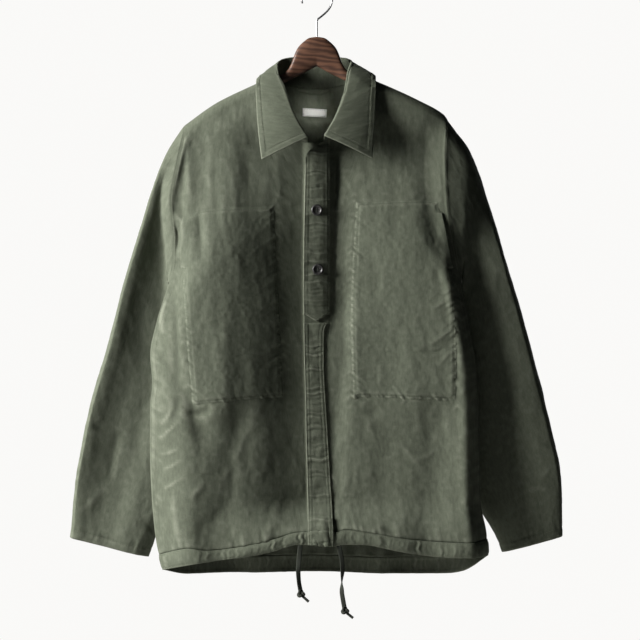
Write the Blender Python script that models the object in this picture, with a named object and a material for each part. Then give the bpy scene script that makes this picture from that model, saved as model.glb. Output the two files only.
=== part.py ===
"""A loose cotton shirt jacket that hangs on a wooden hanger with a steel wire hook.

Metres, +Z up, the front faces -Y. The origin is the inner top of the hook, where a rail carries it.
Right and left are the wearer's, so the right front lies at -X. Every piece of cloth is a wall about a
grid of points. The body's two surfaces are heights y(x, z): a front and a back that both start from the
shoulder ridge, turn in at the side seams and take up the folds of the tables below.
"""

import bpy
import bmesh
import numpy as np
from math import cos, pi, radians, sin
from mathutils import Vector

# Walls and gaps
CLOTH = 0.0014
HEM_WALL = 0.0022          # the hem tunnel is two layers with a tape inside
LABEL_WALL = 0.0010
SEAM_GAP = 0.0003
RIDGE_GAP = 0.0008         # between front and back along the shoulder, where their edges tilt
LAY_GAP = 0.0005           # between a panel and a piece sewn flat on it
LAP_GAP = 0.0040           # the right front lies this far behind the left front where they lap
ARMHOLE_GAP = 0.0014       # the sleeve turns a corner at its seam, so its inner edge needs more room
NECK_GAP = 0.0015          # and so does the collar, with this much more at the sides of the neck
SIDE_NECK_GAP = 0.0010

# How the cloth leaves the hanger
RIDGE_TURN = 0.017         # radius of the cloth's turn over the hanger's arms
FRONT_FULLNESS = 0.050     # further depth that the front gains below the shoulders
BACK_FULLNESS = 0.040
FULL_BY = 0.26             # drop below the ridge at which the fullness is complete
NECK_SWELL = 0.014         # the neck stands off the hanger's hump by this much more
NECK_HALF_WIDTH = 0.070
EDGE_FADE = 0.035          # folds run out within this distance of a side edge

# Buttons
BUTTON_RADIUS = 0.0088
BUTTON_HEIGHT = 0.0030
BUTTON_PLACES = {"button_upper": (0.0004, -0.3582), "button_lower": (0.0020, -0.4494)}

# Label and hanging loop, inside the back neck
LABEL_CENTRE = (-0.0036, -0.2003)
LABEL_SIZE = (0.038, 0.0125)
LABEL_TILT = radians(-3.0)
LOOP_ENDS = (-0.0310, 0.0195)
LOOP_HEIGHT = 0.0055
LOOP_BOW = 0.0022
LOOP_SAG = 0.0020

# Hanger and hook
HUMP_HALF_DEPTH = 0.0068
ARM_HALF_DEPTH = 0.0118
ARM_HEIGHT = 0.0185
ARM_TAPER = 0.35
HANGER_CLEARANCE = 0.0015  # from the arm's top to the cloth's underside
WIRE_RADIUS = 0.0015
HOOK_RADIUS = 0.0246       # of the wire's centre line
HOOK_FROM, HOOK_TO = radians(-12.0), radians(205.0)

# Drawstrings
TAPE_RADIUS = 0.0030


def table(columns, *rows):
    names = columns.split()
    return [dict(zip(names, row)) for row in rows]


# Column lines of the two fronts: x at each height. edge is the armhole seam, then the side seam.
RIGHT_COLUMNS = table(
    "z        edge     pocket_out pocket_in neck     free",
    (-0.150, -0.2059, -0.1850, -0.0760, -0.0726, 0.0080),
    (-0.180, -0.2059, -0.1860, -0.0752, -0.0712, 0.0080),
    (-0.224, -0.2059, -0.1880, -0.0736, -0.0665, 0.0080),
    (-0.273, -0.2139, -0.1940, -0.0700, -0.0610, 0.0085),
    (-0.345, -0.2250, -0.2030, -0.0630, -0.0520, 0.0100),
    (-0.400, -0.2200, -0.2065, -0.0605, -0.0490, 0.0100),
    (-0.435, -0.2205, -0.2075, -0.0590, -0.0475, 0.0100),
    (-0.468, -0.2275, -0.2075, -0.0575, -0.0460, 0.0100),
    (-0.530, -0.2467, -0.2030, -0.0545, -0.0430, 0.0100),
    (-0.581, -0.2565, -0.1990, -0.0520, -0.0405, 0.0100),
    (-0.624, -0.2535, -0.1950, -0.0500, -0.0385, 0.0105),
    (-0.660, -0.2568, -0.1926, -0.0485, -0.0370, 0.0110),
    (-0.723, -0.2571, -0.1920, -0.0460, -0.0350, 0.0120),
    (-0.794, -0.2548, -0.1900, -0.0440, -0.0330, 0.0130),
    (-0.863, -0.2487, -0.1880, -0.0420, -0.0310, 0.0140),
    (-0.915, -0.2375, -0.1830, -0.0410, -0.0300, 0.0140),
)
LEFT_COLUMNS = table(
    "z        free     placket_in neck  pocket_in pocket_out edge",
    (-0.145, -0.0179, 0.0195, 0.0704, 0.0736, 0.1800, 0.2023),
    (-0.175, -0.0179, 0.0195, 0.0690, 0.0728, 0.1802, 0.2023),
    (-0.213, -0.0179, 0.0195, 0.0625, 0.0700, 0.1810, 0.2023),
    (-0.285, -0.0179, 0.0195, 0.0530, 0.0625, 0.1850, 0.1990),
    (-0.345, -0.0194, 0.0195, 0.0480, 0.0582, 0.1900, 0.2014),
    (-0.382, -0.0200, 0.0195, 0.0460, 0.0560, 0.1970, 0.2065),
    (-0.425, -0.0208, 0.0195, 0.0435, 0.0535, 0.2045, 0.2142),
    (-0.464, -0.0209, 0.0195, 0.0415, 0.0518, 0.2105, 0.2218),
    (-0.519, -0.0203, 0.0195, 0.0400, 0.0506, 0.2150, 0.2330),
    (-0.545, -0.0200, 0.0110, 0.0395, 0.0506, 0.2165, 0.2373),
    (-0.590, -0.0190, 0.0105, 0.0400, 0.0515, 0.2175, 0.2447),
    (-0.650, -0.0175, 0.0135, 0.0420, 0.0535, 0.2160, 0.2492),
    (-0.700, -0.0166, 0.0165, 0.0440, 0.0550, 0.2150, 0.2506),
    (-0.758, -0.0152, 0.0200, 0.0460, 0.0560, 0.2140, 0.2518),
    (-0.809, -0.0140, 0.0235, 0.0480, 0.0570, 0.2140, 0.2530),
    (-0.858, -0.0128, 0.0252, 0.0490, 0.0580, 0.2170, 0.2620),
    (-0.895, -0.0120, 0.0254, 0.0490, 0.0580, 0.2180, 0.2645),
)
BACK_COLUMNS = table(
    "z       neck_right neck_left",
    (-0.145, -0.0760, 0.0736),
    (-0.500, -0.0820, 0.0800),
    (-0.930, -0.0860, 0.0840),
)

# Level lines: z across the body. The first is the shoulder ridge with the hanger's line over the neck.
RIDGE = table(
    "x        z",
    (-0.2059, -0.2244),
    (-0.1666, -0.1958),
    (-0.1510, -0.1863),
    (-0.0933, -0.1588),
    (-0.0760, -0.1510),
    (-0.0400, -0.1370),
    (0.0000, -0.1300),
    (0.0400, -0.1350),
    (0.0736, -0.1479),
    (0.0908, -0.1545),
    (0.1610, -0.1863),
    (0.1972, -0.2069),
    (0.2023, -0.2134),
)
RIGHT_TOP = RIDGE[:5] + table(
    "x        z",
    (-0.0722, -0.1700),
    (-0.0650, -0.2000),
    (-0.0520, -0.2280),
    (-0.0300, -0.2460),
    (-0.0133, -0.2520),
    (0.0080, -0.2495),
)
LEFT_TOP = table(
    "x        z",
    (-0.0179, -0.2832),
    (-0.0155, -0.2720),
    (-0.0087, -0.2634),
    (0.0111, -0.2497),
    (0.0300, -0.2435),
    (0.0500, -0.2260),
    (0.0632, -0.1970),
    (0.0698, -0.1670),
) + RIDGE[8:]
BACK_TOP = RIDGE[:5] + table(
    "x        z",
    (-0.0550, -0.1570),
    (-0.0300, -0.1615),
    (0.0000, -0.1635),
    (0.0300, -0.1610),
    (0.0550, -0.1555),
) + RIDGE[8:]
POCKET_TOP = table(
    "x        z",
    (-0.2260, -0.3720),
    (-0.2020, -0.3693),
    (-0.1766, -0.3553),
    (-0.0630, -0.3481),
    (0.0582, -0.3430),
    (0.1700, -0.3390),
    (0.1905, -0.3435),
    (0.2014, -0.3520),
)
UNDERARM = table("x z", (-0.2275, -0.4684), (0.2218, -0.4638))
PLACKET_END = table("x z", (-0.2450, -0.5280), (-0.0200, -0.5245), (0.0195, -0.5245), (0.2340, -0.5240))
POCKET_BOTTOM = table(
    "x        z",
    (-0.2568, -0.6640),
    (-0.1926, -0.6592),
    (-0.0485, -0.6488),
    (0.0535, -0.6487),
    (0.2160, -0.6539),
    (0.2495, -0.6560),
)
FRONT_HEM_SEAM = table(
    "x        z",
    (-0.2450, -0.8905),
    (-0.2138, -0.8797),
    (-0.1954, -0.8760),
    (-0.1695, -0.8797),
    (-0.1032, -0.8713),
    (-0.0662, -0.8622),
    (-0.0291, -0.8520),
    (0.0140, -0.8500),
    (0.0309, -0.8510),
    (0.0446, -0.8474),
    (0.0789, -0.8520),
    (0.1528, -0.8640),
    (0.2358, -0.8680),
    (0.2640, -0.8655),
)
FRONT_HEM = table(
    "x        z",
    (-0.2375, -0.9131),
    (-0.2046, -0.9038),
    (-0.1769, -0.8981),
    (-0.1032, -0.8872),
    (-0.0662, -0.8797),
    (-0.0291, -0.8695),
    (0.0050, -0.8710),
    (0.0233, -0.8725),
    (0.0416, -0.8695),
    (0.0696, -0.8695),
    (0.1251, -0.8797),
    (0.1897, -0.8890),
    (0.2645, -0.8907),
)
BACK_HEM_SEAM = table(
    "x        z",
    (-0.2450, -0.8905),
    (-0.1462, -0.8995),
    (0.0000, -0.9010),
    (0.1400, -0.9025),
    (0.2100, -0.8940),
    (0.2640, -0.8655),
)
BACK_HEM = table(
    "x        z",
    (-0.2375, -0.9131),
    (-0.2000, -0.9220),
    (-0.0887, -0.9273),
    (0.0209, -0.9273),
    (0.1397, -0.9294),
    (0.1975, -0.9246),
    (0.2265, -0.9178),
    (0.2645, -0.8907),
)

# The side: where the two surfaces' edges lie, and over what distance each turns in to its full depth.
SIDE = table(
    "z        front_y  back_y  front_turn back_turn back_slowness",
    (-0.205, -0.012, 0.012, 0.040, 0.040, 1.0),
    (-0.260, -0.024, 0.022, 0.045, 0.050, 1.0),
    (-0.310, -0.034, 0.031, 0.055, 0.065, 1.0),
    (-0.370, -0.040, 0.030, 0.060, 0.090, 1.1),
    (-0.425, -0.038, 0.008, 0.060, 0.120, 1.3),
    (-0.464, -0.031, -0.031, 0.060, 0.150, 1.5),
    (-0.560, -0.032, -0.032, 0.060, 0.150, 1.8),
    (-0.750, -0.030, -0.030, 0.065, 0.150, 1.8),
    (-0.915, -0.024, -0.024, 0.065, 0.130, 1.5),
)

# Long soft folds: a line from top to bottom, its width to each side, and its rise towards the outside.
FOLD = "top_x    top_z    bottom_x bottom_z right_width left_width rise"
RIGHT_FOLDS = table(
    FOLD,
    (-0.0640, -0.290, -0.0300, -0.860, 0.034, 0.013, -0.027),   # deep valley beside the placket
    (-0.1980, -0.245, -0.1990, -0.470, 0.007, 0.012, 0.005),    # ridge along the armhole
    (-0.1500, -0.230, -0.1350, -0.640, 0.022, 0.030, 0.005),    # the pocket's swell
    (-0.2150, -0.610, -0.1800, -0.690, 0.010, 0.014, -0.005),   # drag under the pocket's corner
    (-0.1200, -0.690, -0.1500, -0.880, 0.020, 0.020, -0.005),
)
LEFT_FOLDS = table(
    FOLD,
    (0.0375, -0.275, 0.0280, -0.450, 0.005, 0.009, -0.010),     # trough beside the placket
    (0.0550, -0.300, 0.0240, -0.570, 0.008, 0.014, 0.008),      # slanting ridge
    (0.0450, -0.500, 0.0330, -0.680, 0.009, 0.009, -0.005),
    (0.0600, -0.540, 0.0530, -0.760, 0.010, 0.020, 0.005),
    (0.1450, -0.260, 0.1500, -0.640, 0.040, 0.035, 0.004),      # the pocket's swell
    (0.1900, -0.680, 0.1700, -0.880, 0.020, 0.025, -0.005),
)
BACK_FOLDS = table(
    FOLD,
    (-0.1250, -0.260, -0.1050, -0.900, 0.022, 0.026, -0.012),
    (0.0100, -0.300, -0.0050, -0.920, 0.030, 0.034, 0.009),
    (0.1150, -0.280, 0.0950, -0.900, 0.026, 0.020, -0.013),
)
FOLD_FADE = 0.060

# The sleeves' two silhouettes, at fractions of the way from armhole to cuff
RIGHT_OUTSIDE = table(
    "t      x        z",
    (0.000, -0.2059, -0.2244),
    (0.070, -0.2320, -0.2630),
    (0.140, -0.2507, -0.3065),
    (0.264, -0.2770, -0.3857),
    (0.395, -0.3036, -0.4702),
    (0.528, -0.3253, -0.5568),
    (0.690, -0.3565, -0.6617),
    (0.796, -0.3710, -0.7312),
    (0.869, -0.3793, -0.7798),
    (1.000, -0.3870, -0.8675),
)
RIGHT_INSIDE = table(
    "t      x        z",
    (0.000, -0.2275, -0.4684),
    (0.020, -0.2305, -0.4705),
    (0.060, -0.2325, -0.4800),
    (0.120, -0.2270, -0.5040),
    (0.190, -0.2170, -0.5450),
    (0.350, -0.2040, -0.6200),
    (0.530, -0.2050, -0.7000),
    (0.690, -0.2180, -0.7700),
    (0.830, -0.2350, -0.8300),
    (0.930, -0.2530, -0.8686),
    (1.000, -0.2651, -0.8987),
)
LEFT_OUTSIDE = table(
    "t      x        z",
    (0.000, 0.2023, -0.2134),
    (0.090, 0.2402, -0.2673),
    (0.190, 0.2649, -0.3323),
    (0.490, 0.3236, -0.5270),
    (0.610, 0.3444, -0.6052),
    (0.738, 0.3652, -0.6884),
    (0.860, 0.3822, -0.7666),
    (0.912, 0.3847, -0.8002),
    (1.000, 0.3854, -0.8643),
)
LEFT_INSIDE = table(
    "t      x        z",
    (0.000, 0.2218, -0.4638),
    (0.020, 0.2245, -0.4660),
    (0.060, 0.2265, -0.4750),
    (0.120, 0.2210, -0.5000),
    (0.190, 0.2110, -0.5450),
    (0.350, 0.2000, -0.6200),
    (0.530, 0.2060, -0.7000),
    (0.690, 0.2250, -0.7600),
    (0.830, 0.2520, -0.8150),
    (0.930, 0.2790, -0.8600),
    (1.000, 0.2924, -0.8910),
)
SLEEVE_DEPTH = table(
    "t     y       depth",
    (0.00, 0.000, 0.034),
    (0.10, 0.010, 0.042),
    (0.25, 0.022, 0.042),
    (0.50, 0.023, 0.038),
    (0.80, 0.022, 0.031),
    (1.00, 0.025, 0.024),
)
SLEEVE_TROUGH = table(
    "t     depth",
    (0.00, 0.000),
    (0.12, 0.004),
    (0.30, 0.016),
    (0.55, 0.015),
    (0.75, 0.006),
    (1.00, 0.002),
)
TROUGH_PLACE, TROUGH_WIDTH = 0.17, 0.09     # parts of the sleeve's width, from its outer silhouette
ARMHOLE_REACH, UNDERARM_REACH = 0.22, 0.06   # the armhole's own shape fades over these parts of the sleeve

# The collar: sections from the right end round the back of the neck to the left end
COLLAR = table(
    "section neck_x   neck_z   roll_x   roll_y  roll_z   edge_x   edge_y  edge_z",
    (0, -0.0133, -0.2520, -0.0140, -0.0500, -0.2475, -0.0844, -0.0500, -0.2809),
    (1, -0.0300, -0.2460, -0.0240, -0.0480, -0.2320, -0.0875, -0.0460, -0.2590),
    (2, -0.0520, -0.2280, -0.0387, -0.0420, -0.2009, -0.0910, -0.0380, -0.2250),
    (3, -0.0650, -0.2000, -0.0490, -0.0310, -0.1700, -0.0930, -0.0300, -0.1930),
    (4, -0.0722, -0.1700, -0.0590, -0.0180, -0.1470, -0.0940, -0.0220, -0.1700),
    (5, -0.0760, -0.1510, -0.0610, -0.0020, -0.1310, -0.0930, -0.0040, -0.1520),
    (6, -0.0640, -0.1543, -0.0560, 0.0200, -0.1210, -0.0880, 0.0260, -0.1600),
    (7, -0.0350, -0.1606, -0.0370, 0.0340, -0.1150, -0.0520, 0.0470, -0.1720),
    (8, 0.0000, -0.1635, 0.0000, 0.0390, -0.1130, 0.0000, 0.0560, -0.1750),
    (9, 0.0350, -0.1602, 0.0340, 0.0340, -0.1150, 0.0500, 0.0470, -0.1710),
    (10, 0.0620, -0.1528, 0.0490, 0.0200, -0.1190, 0.0850, 0.0260, -0.1570),
    (11, 0.0736, -0.1479, 0.0530, 0.0000, -0.1265, 0.0905, -0.0040, -0.1480),
    (12, 0.0698, -0.1670, 0.0480, -0.0190, -0.1440, 0.0915, -0.0220, -0.1660),
    (13, 0.0632, -0.1970, 0.0425, -0.0310, -0.1760, 0.0905, -0.0300, -0.1900),
    (14, 0.0500, -0.2260, 0.0320, -0.0430, -0.2070, 0.0890, -0.0400, -0.2243),
    (15, 0.0300, -0.2435, 0.0215, -0.0490, -0.2290, 0.0865, -0.0470, -0.2560),
    (16, 0.0111, -0.2497, 0.0120, -0.0520, -0.2455, 0.0851, -0.0510, -0.2790),
)
SHOULDER_SECTIONS = (5, 11)     # between these the collar's seam runs on the back
COLLAR_STATIONS = [0, .5, 1, 1.5, 2, 2.6, 3.2, 3.7, 4.1, 4.4, 4.7, 5, 5.4, 6, 6.7, 7.35, 8, 8.65, 9.3, 10, 10.6,
                   11, 11.3, 11.6, 11.9, 12.3, 12.8, 13.4, 14, 14.5, 15, 15.5, 16]
COLLAR_FOLD = 0.0036       # from the stand's middle to the leaf's where they turn over
COLLAR_CREST = 0.0012
COLLAR_BOW = 0.0035
COLLAR_CLEARANCE = 0.0045
OVER_SHOULDER = 0.010       # nearer the shoulder seam than this the leaf is lifted, further off it is moved out
NECK_CENTRE = (-0.004, -0.006)

# The hanger's hump: its top line and lower line from the middle outwards
HUMP = table(
    "x       top      bottom",
    (0.0000, -0.0852, -0.1312),
    (0.0110, -0.0868, -0.1370),
    (0.0205, -0.0930, -0.1425),
    (0.0285, -0.1010, -0.1462),
    (0.0345, -0.1105, -0.1490),
    (0.0385, -0.1195, -0.1512),
    (0.0450, -0.1315, -0.1545),
    (0.0577, -0.1440, -0.1610),
)
ARM_TIP_RIGHT, ARM_TIP_LEFT = -0.1970, 0.1920

# Free tapes below the hem: steps down from the tunnel's lower edge, where each comes out of a small gap
TAPE_EXITS = {"drawstring_right": -0.0250, "drawstring_left": 0.0338}
TAPES = {
    "drawstring_right": table(
        "x        further_back down",
        (0.0000, 0.0000, 0.0000),
        (-0.0012, 0.0005, 0.0130),
        (-0.0026, 0.0010, 0.0280),
        (-0.0032, 0.0015, 0.0410),
        (-0.0022, 0.0020, 0.0560),
        (0.0002, 0.0020, 0.0700),
    ),
    "drawstring_left": table(
        "x       further_back down",
        (0.0000, 0.0000, 0.0000),
        (0.0024, 0.0010, 0.0110),
        (0.0048, 0.0030, 0.0230),
        (0.0056, 0.0060, 0.0390),
        (0.0047, 0.0090, 0.0550),
        (0.0046, 0.0110, 0.0700),
        (0.0066, 0.0120, 0.0850),
        (0.0086, 0.0120, 0.0960),
    ),
}
TAPE_GAP = 0.0006          # below the hem's lower edge, which runs at a slant
TAPE_STEPS = 14
KNOT_DIRECTIONS = {"knot_right": (0.62, -0.05, -0.55), "knot_left": (0.66, -0.05, -0.52)}
KNOT_PROFILE = table(
    "along   radius",
    (0.0000, 0.0024),
    (0.0018, 0.0048),
    (0.0045, 0.0060),
    (0.0075, 0.0054),
    (0.0098, 0.0034),
    (0.0125, 0.0030),
    (0.0170, 0.0034),
    (0.0185, 0.0026),
)
KNOT_SIDES = 8

# Marks along the columns and levels: the whole part names the line, the fraction the way to the next
RIGHT_COLUMN_MARKS = [0, .08, .25, .58, 1, 1.15, 1.3, 1.46, 1.63, 1.81, 2, 2.1, 2.3, 2.65, 3, 3.08, 3.22, 3.4, 3.6, 3.8, 4]
LEFT_COLUMN_MARKS = [0, .5, 1, 1.33, 1.66, 1.9, 2, 2.35, 2.7, 3, 3.19, 3.37, 3.54, 3.7, 3.85, 4, 4.42, 4.75, 4.92, 5]
BACK_COLUMN_MARKS = ([0, .04, .12, .24, .38, .53, .68, .84] + [1 + k / 10 for k in range(10)]
                     + [2, 2.16, 2.32, 2.47, 2.62, 2.76, 2.88, 2.96, 3])
LEVEL_MARKS = ([0, .006, .02, .06, .13, .25, .42, .6, .8] + [1, 1 + 1 / 3, 1 + 2 / 3] + [2, 2.5]
               + [3, 3.25, 3.5, 3.75] + [4, 4.17, 4.34, 4.51, 4.68, 4.85, 5])
UNDERARM_ROW = LEVEL_MARKS.index(2)
POCKET_ROWS = (LEVEL_MARKS.index(1), LEVEL_MARKS.index(4))
PLACKET_ROW = LEVEL_MARKS.index(3)
SLEEVE_MARKS = [0, .02, .06, .12, .19, .27, .35, .43, .51, .59, .67, .75, .83, .91, .97, 1]
GRID_PASSES = 14


# ---------------------------------------------------------------- numbers

def smooth(rows, key, column, at):
    """The column's value at a place along the key column: a cubic through the rows that never overshoots."""
    points = sorted((row[key], row[column]) for row in rows)
    keys = np.array([point[0] for point in points], float)
    values = np.array([point[1] for point in points], float)
    steps = np.diff(keys)
    rises = np.diff(values) / steps
    slopes = np.zeros(len(keys))
    slopes[0], slopes[-1] = rises[0], rises[-1]
    before, after = rises[:-1], rises[1:]
    same_way = before * after > 0
    total = np.where(same_way, before + after, 1.0)
    slopes[1:-1] = np.where(same_way, 2 * before * after / total, 0.0)
    at = np.clip(at, keys[0], keys[-1])
    k = np.clip(np.searchsorted(keys, at) - 1, 0, len(keys) - 2)
    u = (at - keys[k]) / steps[k]
    rise = (3 - 2 * u) * u * u
    return (values[k] * (1 - rise) + values[k + 1] * rise
            + steps[k] * (slopes[k] * u * (1 - u) ** 2 - slopes[k + 1] * u * u * (1 - u)))


def ease(u):
    u = np.clip(u, 0, 1)
    return u * u * (3 - 2 * u)


def quarter_round(u):
    u = np.clip(u, 0, 1)
    return np.sqrt(1 - (1 - u) ** 2)


def between(a, b, part):
    return a + (b - a) * part


# ---------------------------------------------------------------- the body's two surfaces

def edge_right(z):
    return smooth(RIGHT_COLUMNS, "z", "edge", z)


def edge_left(z):
    return smooth(LEFT_COLUMNS, "z", "edge", z)


def ridge(x):
    return smooth(RIDGE, "x", "z", x)


def drop(x, z):
    return np.maximum(ridge(x) - z, 0)


def from_edge(x, z):
    return np.maximum(np.minimum(x - edge_right(z), edge_left(z) - x), 0)


def fold_height(folds, x, z):
    total = np.zeros(np.broadcast(x, z).shape)
    for fold in folds:
        part = (fold["top_z"] - z) / (fold["top_z"] - fold["bottom_z"])
        line = between(fold["top_x"], fold["bottom_x"], np.clip(part, -.2, 1.2))
        width = np.where(x < line, fold["right_width"], fold["left_width"])
        beyond = np.maximum(z - fold["top_z"], 0) + np.maximum(fold["bottom_z"] - z, 0)
        total += fold["rise"] * np.exp(-0.5 * ((x - line) / width) ** 2) * (1 - ease(beyond / FOLD_FADE))
    return total * ease(from_edge(x, z) / EDGE_FADE) * ease(drop(x, z) / FOLD_FADE)


def hang(x, z, fullness):
    """How far the cloth stands off the hanger's plane, away from the side edges."""
    below = drop(x, z)
    neck = NECK_SWELL * np.exp(-(x / NECK_HALF_WIDTH) ** 2) * (1 - ease(below / FULL_BY))
    return RIDGE_TURN * quarter_round(below / RIDGE_TURN) + fullness * ease(below / FULL_BY) \
        + neck * ease(below / (2 * RIDGE_TURN))


def front_y(x, z, folds, wall=CLOTH):
    side = smooth(SIDE, "z", "front_y", z) * quarter_round(drop(x, z) / (2 * RIDGE_TURN)) - 0.5 * wall
    turn = np.sin(pi / 2 * np.clip(from_edge(x, z) / smooth(SIDE, "z", "front_turn", z), 0, 1))
    y = between(side, -hang(x, z, FRONT_FULLNESS), turn) - fold_height(folds, x, z)
    return np.minimum(y, -RIDGE_GAP / 2)


def back_y(x, z, wall=CLOTH):
    side = smooth(SIDE, "z", "back_y", z) * quarter_round(drop(x, z) / (2 * RIDGE_TURN)) + 0.6 * wall
    part = np.clip(from_edge(x, z) / smooth(SIDE, "z", "back_turn", z), 0, 1)
    turn = np.sin(pi / 2 * part ** smooth(SIDE, "z", "back_slowness", z))
    y = between(side, hang(x, z, BACK_FULLNESS), turn) + fold_height(BACK_FOLDS, x, z)
    return np.where(drop(x, z) > 0, y, np.maximum(y, RIDGE_GAP / 2))


def right_front_y(x, z, wall=CLOTH):
    """The right front drops back where the left front laps over it."""
    lap_start = smooth(LEFT_COLUMNS, "z", "free", z) - 0.020
    return front_y(x, z, RIGHT_FOLDS, wall) + LAP_GAP * ease((x - lap_start) / 0.018)


def left_front_y(x, z, wall=CLOTH):
    return front_y(x, z, LEFT_FOLDS, wall)


# ---------------------------------------------------------------- grids of points

def pick(lines, marks, at):
    """The value of the marked lines, where mark 1.3 is three tenths of the way from line 1 to line 2."""
    values = np.array([line(at) for line in lines])
    marks = np.asarray(marks, float)
    low = np.minimum(marks.astype(int), len(lines) - 2)
    part = marks - low
    rows, columns = np.indices(at.shape)
    low = np.broadcast_to(low, at.shape)
    return between(values[low, rows, columns], values[low + 1, rows, columns], part)


def crossings(column_lines, column_marks, level_lines, level_marks):
    """x and z where each marked column line crosses each marked level line."""
    shape = (len(level_marks), len(column_marks))
    x, z = np.zeros(shape), np.full(shape, -0.5)
    levels = np.array(level_marks, float)[:, None]
    for _ in range(GRID_PASSES):
        x = pick(column_lines, column_marks, z)
        z = pick(level_lines, levels, x)
    return x, z


def columns_of(rows, names):
    return [lambda z, name=name: smooth(rows, "z", name, z) for name in names.split()]


def levels_of(*lines):
    return [lambda x, line=line: smooth(line, "x", "z", x) for line in lines]


def with_y(x, z, y):
    return np.stack([x, y, z], axis=-1)


def outward(points):
    """Unit normals of a grid of points, and the factor that keeps a moved-out wall's facets parallel."""
    along = np.gradient(points, axis=1)
    down = np.gradient(points, axis=0)
    normal = np.cross(along, down)
    return normal / np.maximum(np.linalg.norm(normal, axis=-1, keepdims=True), 1e-9)


# ---------------------------------------------------------------- objects

def material(name, colour, roughness, metallic=0.0):
    made = bpy.data.materials.new(name)
    made.use_nodes = True
    shader = made.node_tree.nodes["Principled BSDF"]
    shader.inputs["Base Color"].default_value = (*colour, 1)
    shader.inputs["Roughness"].default_value = roughness
    shader.inputs["Metallic"].default_value = metallic
    return made


def place(name, mesh, finish):
    mesh.materials.append(finish)
    made = bpy.data.objects.new(name, mesh)
    bpy.context.collection.objects.link(made)
    return made


def cloth(name, points, wall, finish, tube=False):
    """A wall of even thickness about a grid of points; a tube's last column repeats its first."""
    rows, columns = points.shape[:2]
    form = bmesh.new()
    bmesh.ops.create_grid(form, x_segments=columns - 1, y_segments=rows - 1, size=1)
    for vertex, point in zip(form.verts, points.reshape(-1, 3)):
        vertex.co = point
    bmesh.ops.triangulate(form, faces=form.faces, quad_method="FIXED")
    if tube:
        bmesh.ops.remove_doubles(form, verts=form.verts, dist=1e-6)
    mesh = bpy.data.meshes.new(name)
    form.to_mesh(mesh)
    form.free()
    mesh.shade_smooth()
    made = place(name, mesh, finish)
    thicken = made.modifiers.new("wall", "SOLIDIFY")
    thicken.thickness = wall
    thicken.offset = 0
    thicken.use_quality_normals = True
    return made


def loft(name, rings, finish):
    """A closed solid through rings of equal count, with flat ends."""
    count = len(rings[0])
    form = bmesh.new()
    loops = []
    for ring in rings:
        vertices = [form.verts.new(point) for point in ring]
        loops.append([form.edges.new((vertices[k], vertices[(k + 1) % count])) for k in range(count)])
    for one, other in zip(loops, loops[1:]):
        bmesh.ops.bridge_loops(form, edges=one + other)
    for end in (loops[0], loops[-1]):
        bmesh.ops.contextual_create(form, geom=end)
    bmesh.ops.recalc_face_normals(form, faces=form.faces)
    mesh = bpy.data.meshes.new(name)
    form.to_mesh(mesh)
    form.free()
    mesh.shade_smooth()
    return place(name, mesh, finish)


def tube(name, path, radius, finish, bevel_resolution=2):
    curve = bpy.data.curves.new(name, "CURVE")
    curve.dimensions = "3D"
    curve.bevel_depth = radius
    curve.bevel_resolution = bevel_resolution
    curve.use_fill_caps = True
    spline = curve.splines.new("POLY")
    spline.points.add(len(path) - 1)
    for point, place_ in zip(spline.points, path):
        point.co = (*place_, 1)
    curve.materials.append(finish)
    made = bpy.data.objects.new(name, curve)
    bpy.context.collection.objects.link(made)
    return made


# ---------------------------------------------------------------- fronts, back and what lies on them

def right_grid():
    columns = columns_of(RIGHT_COLUMNS, "edge pocket_out pocket_in neck free")
    levels = levels_of(RIGHT_TOP, POCKET_TOP, UNDERARM, PLACKET_END, POCKET_BOTTOM, FRONT_HEM_SEAM, FRONT_HEM)
    return columns, levels


def left_grid():
    columns = columns_of(LEFT_COLUMNS, "free placket_in neck pocket_in pocket_out edge")
    levels = levels_of(LEFT_TOP, POCKET_TOP, UNDERARM, PLACKET_END, POCKET_BOTTOM, FRONT_HEM_SEAM, FRONT_HEM)
    return columns, levels


def back_grid():
    columns = [edge_right] + columns_of(BACK_COLUMNS, "neck_right neck_left") + [edge_left]
    levels = levels_of(BACK_TOP, POCKET_TOP, UNDERARM, PLACKET_END, POCKET_BOTTOM, BACK_HEM_SEAM, BACK_HEM)
    return columns, levels


def right_front_points():
    columns, levels = right_grid()
    x, z = crossings(columns, RIGHT_COLUMN_MARKS, levels, LEVEL_MARKS)
    return with_y(x, z, right_front_y(x, z))


def left_front_points():
    columns, levels = left_grid()
    x, z = crossings(columns, LEFT_COLUMN_MARKS, levels, LEVEL_MARKS)
    return with_y(x, z, left_front_y(x, z))


def back_points():
    columns, levels = back_grid()
    x, z = crossings(columns, BACK_COLUMN_MARKS, levels, LEVEL_MARKS)
    return with_y(x, z, back_y(x, z))


def moved_out(points, distance):
    """The same grid moved towards the front by a distance along its normals."""
    normal = outward(points)
    facing = np.sign(-normal[..., 1:2])
    return points + normal * facing * distance


HEM_MARKS = [5.03, 5.5, 6]


def hem_bands(finish):
    """The tunnel along the hem, which swells a little between its seam and its lower edge."""
    swell = np.array([0, 0.0016, 0])[:, None]
    for name, grid, marks, surface, facing in (
            ("hem_band_right", right_grid(), RIGHT_COLUMN_MARKS, right_front_y, -1),
            ("hem_band_left", left_grid(), LEFT_COLUMN_MARKS, left_front_y, -1),
            ("hem_band_back", back_grid(), BACK_COLUMN_MARKS, back_y, 1)):
        x, z = crossings(grid[0], marks, grid[1], HEM_MARKS)
        cloth(name, with_y(x, z, surface(x, z, HEM_WALL) + facing * swell), HEM_WALL, finish)


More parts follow.
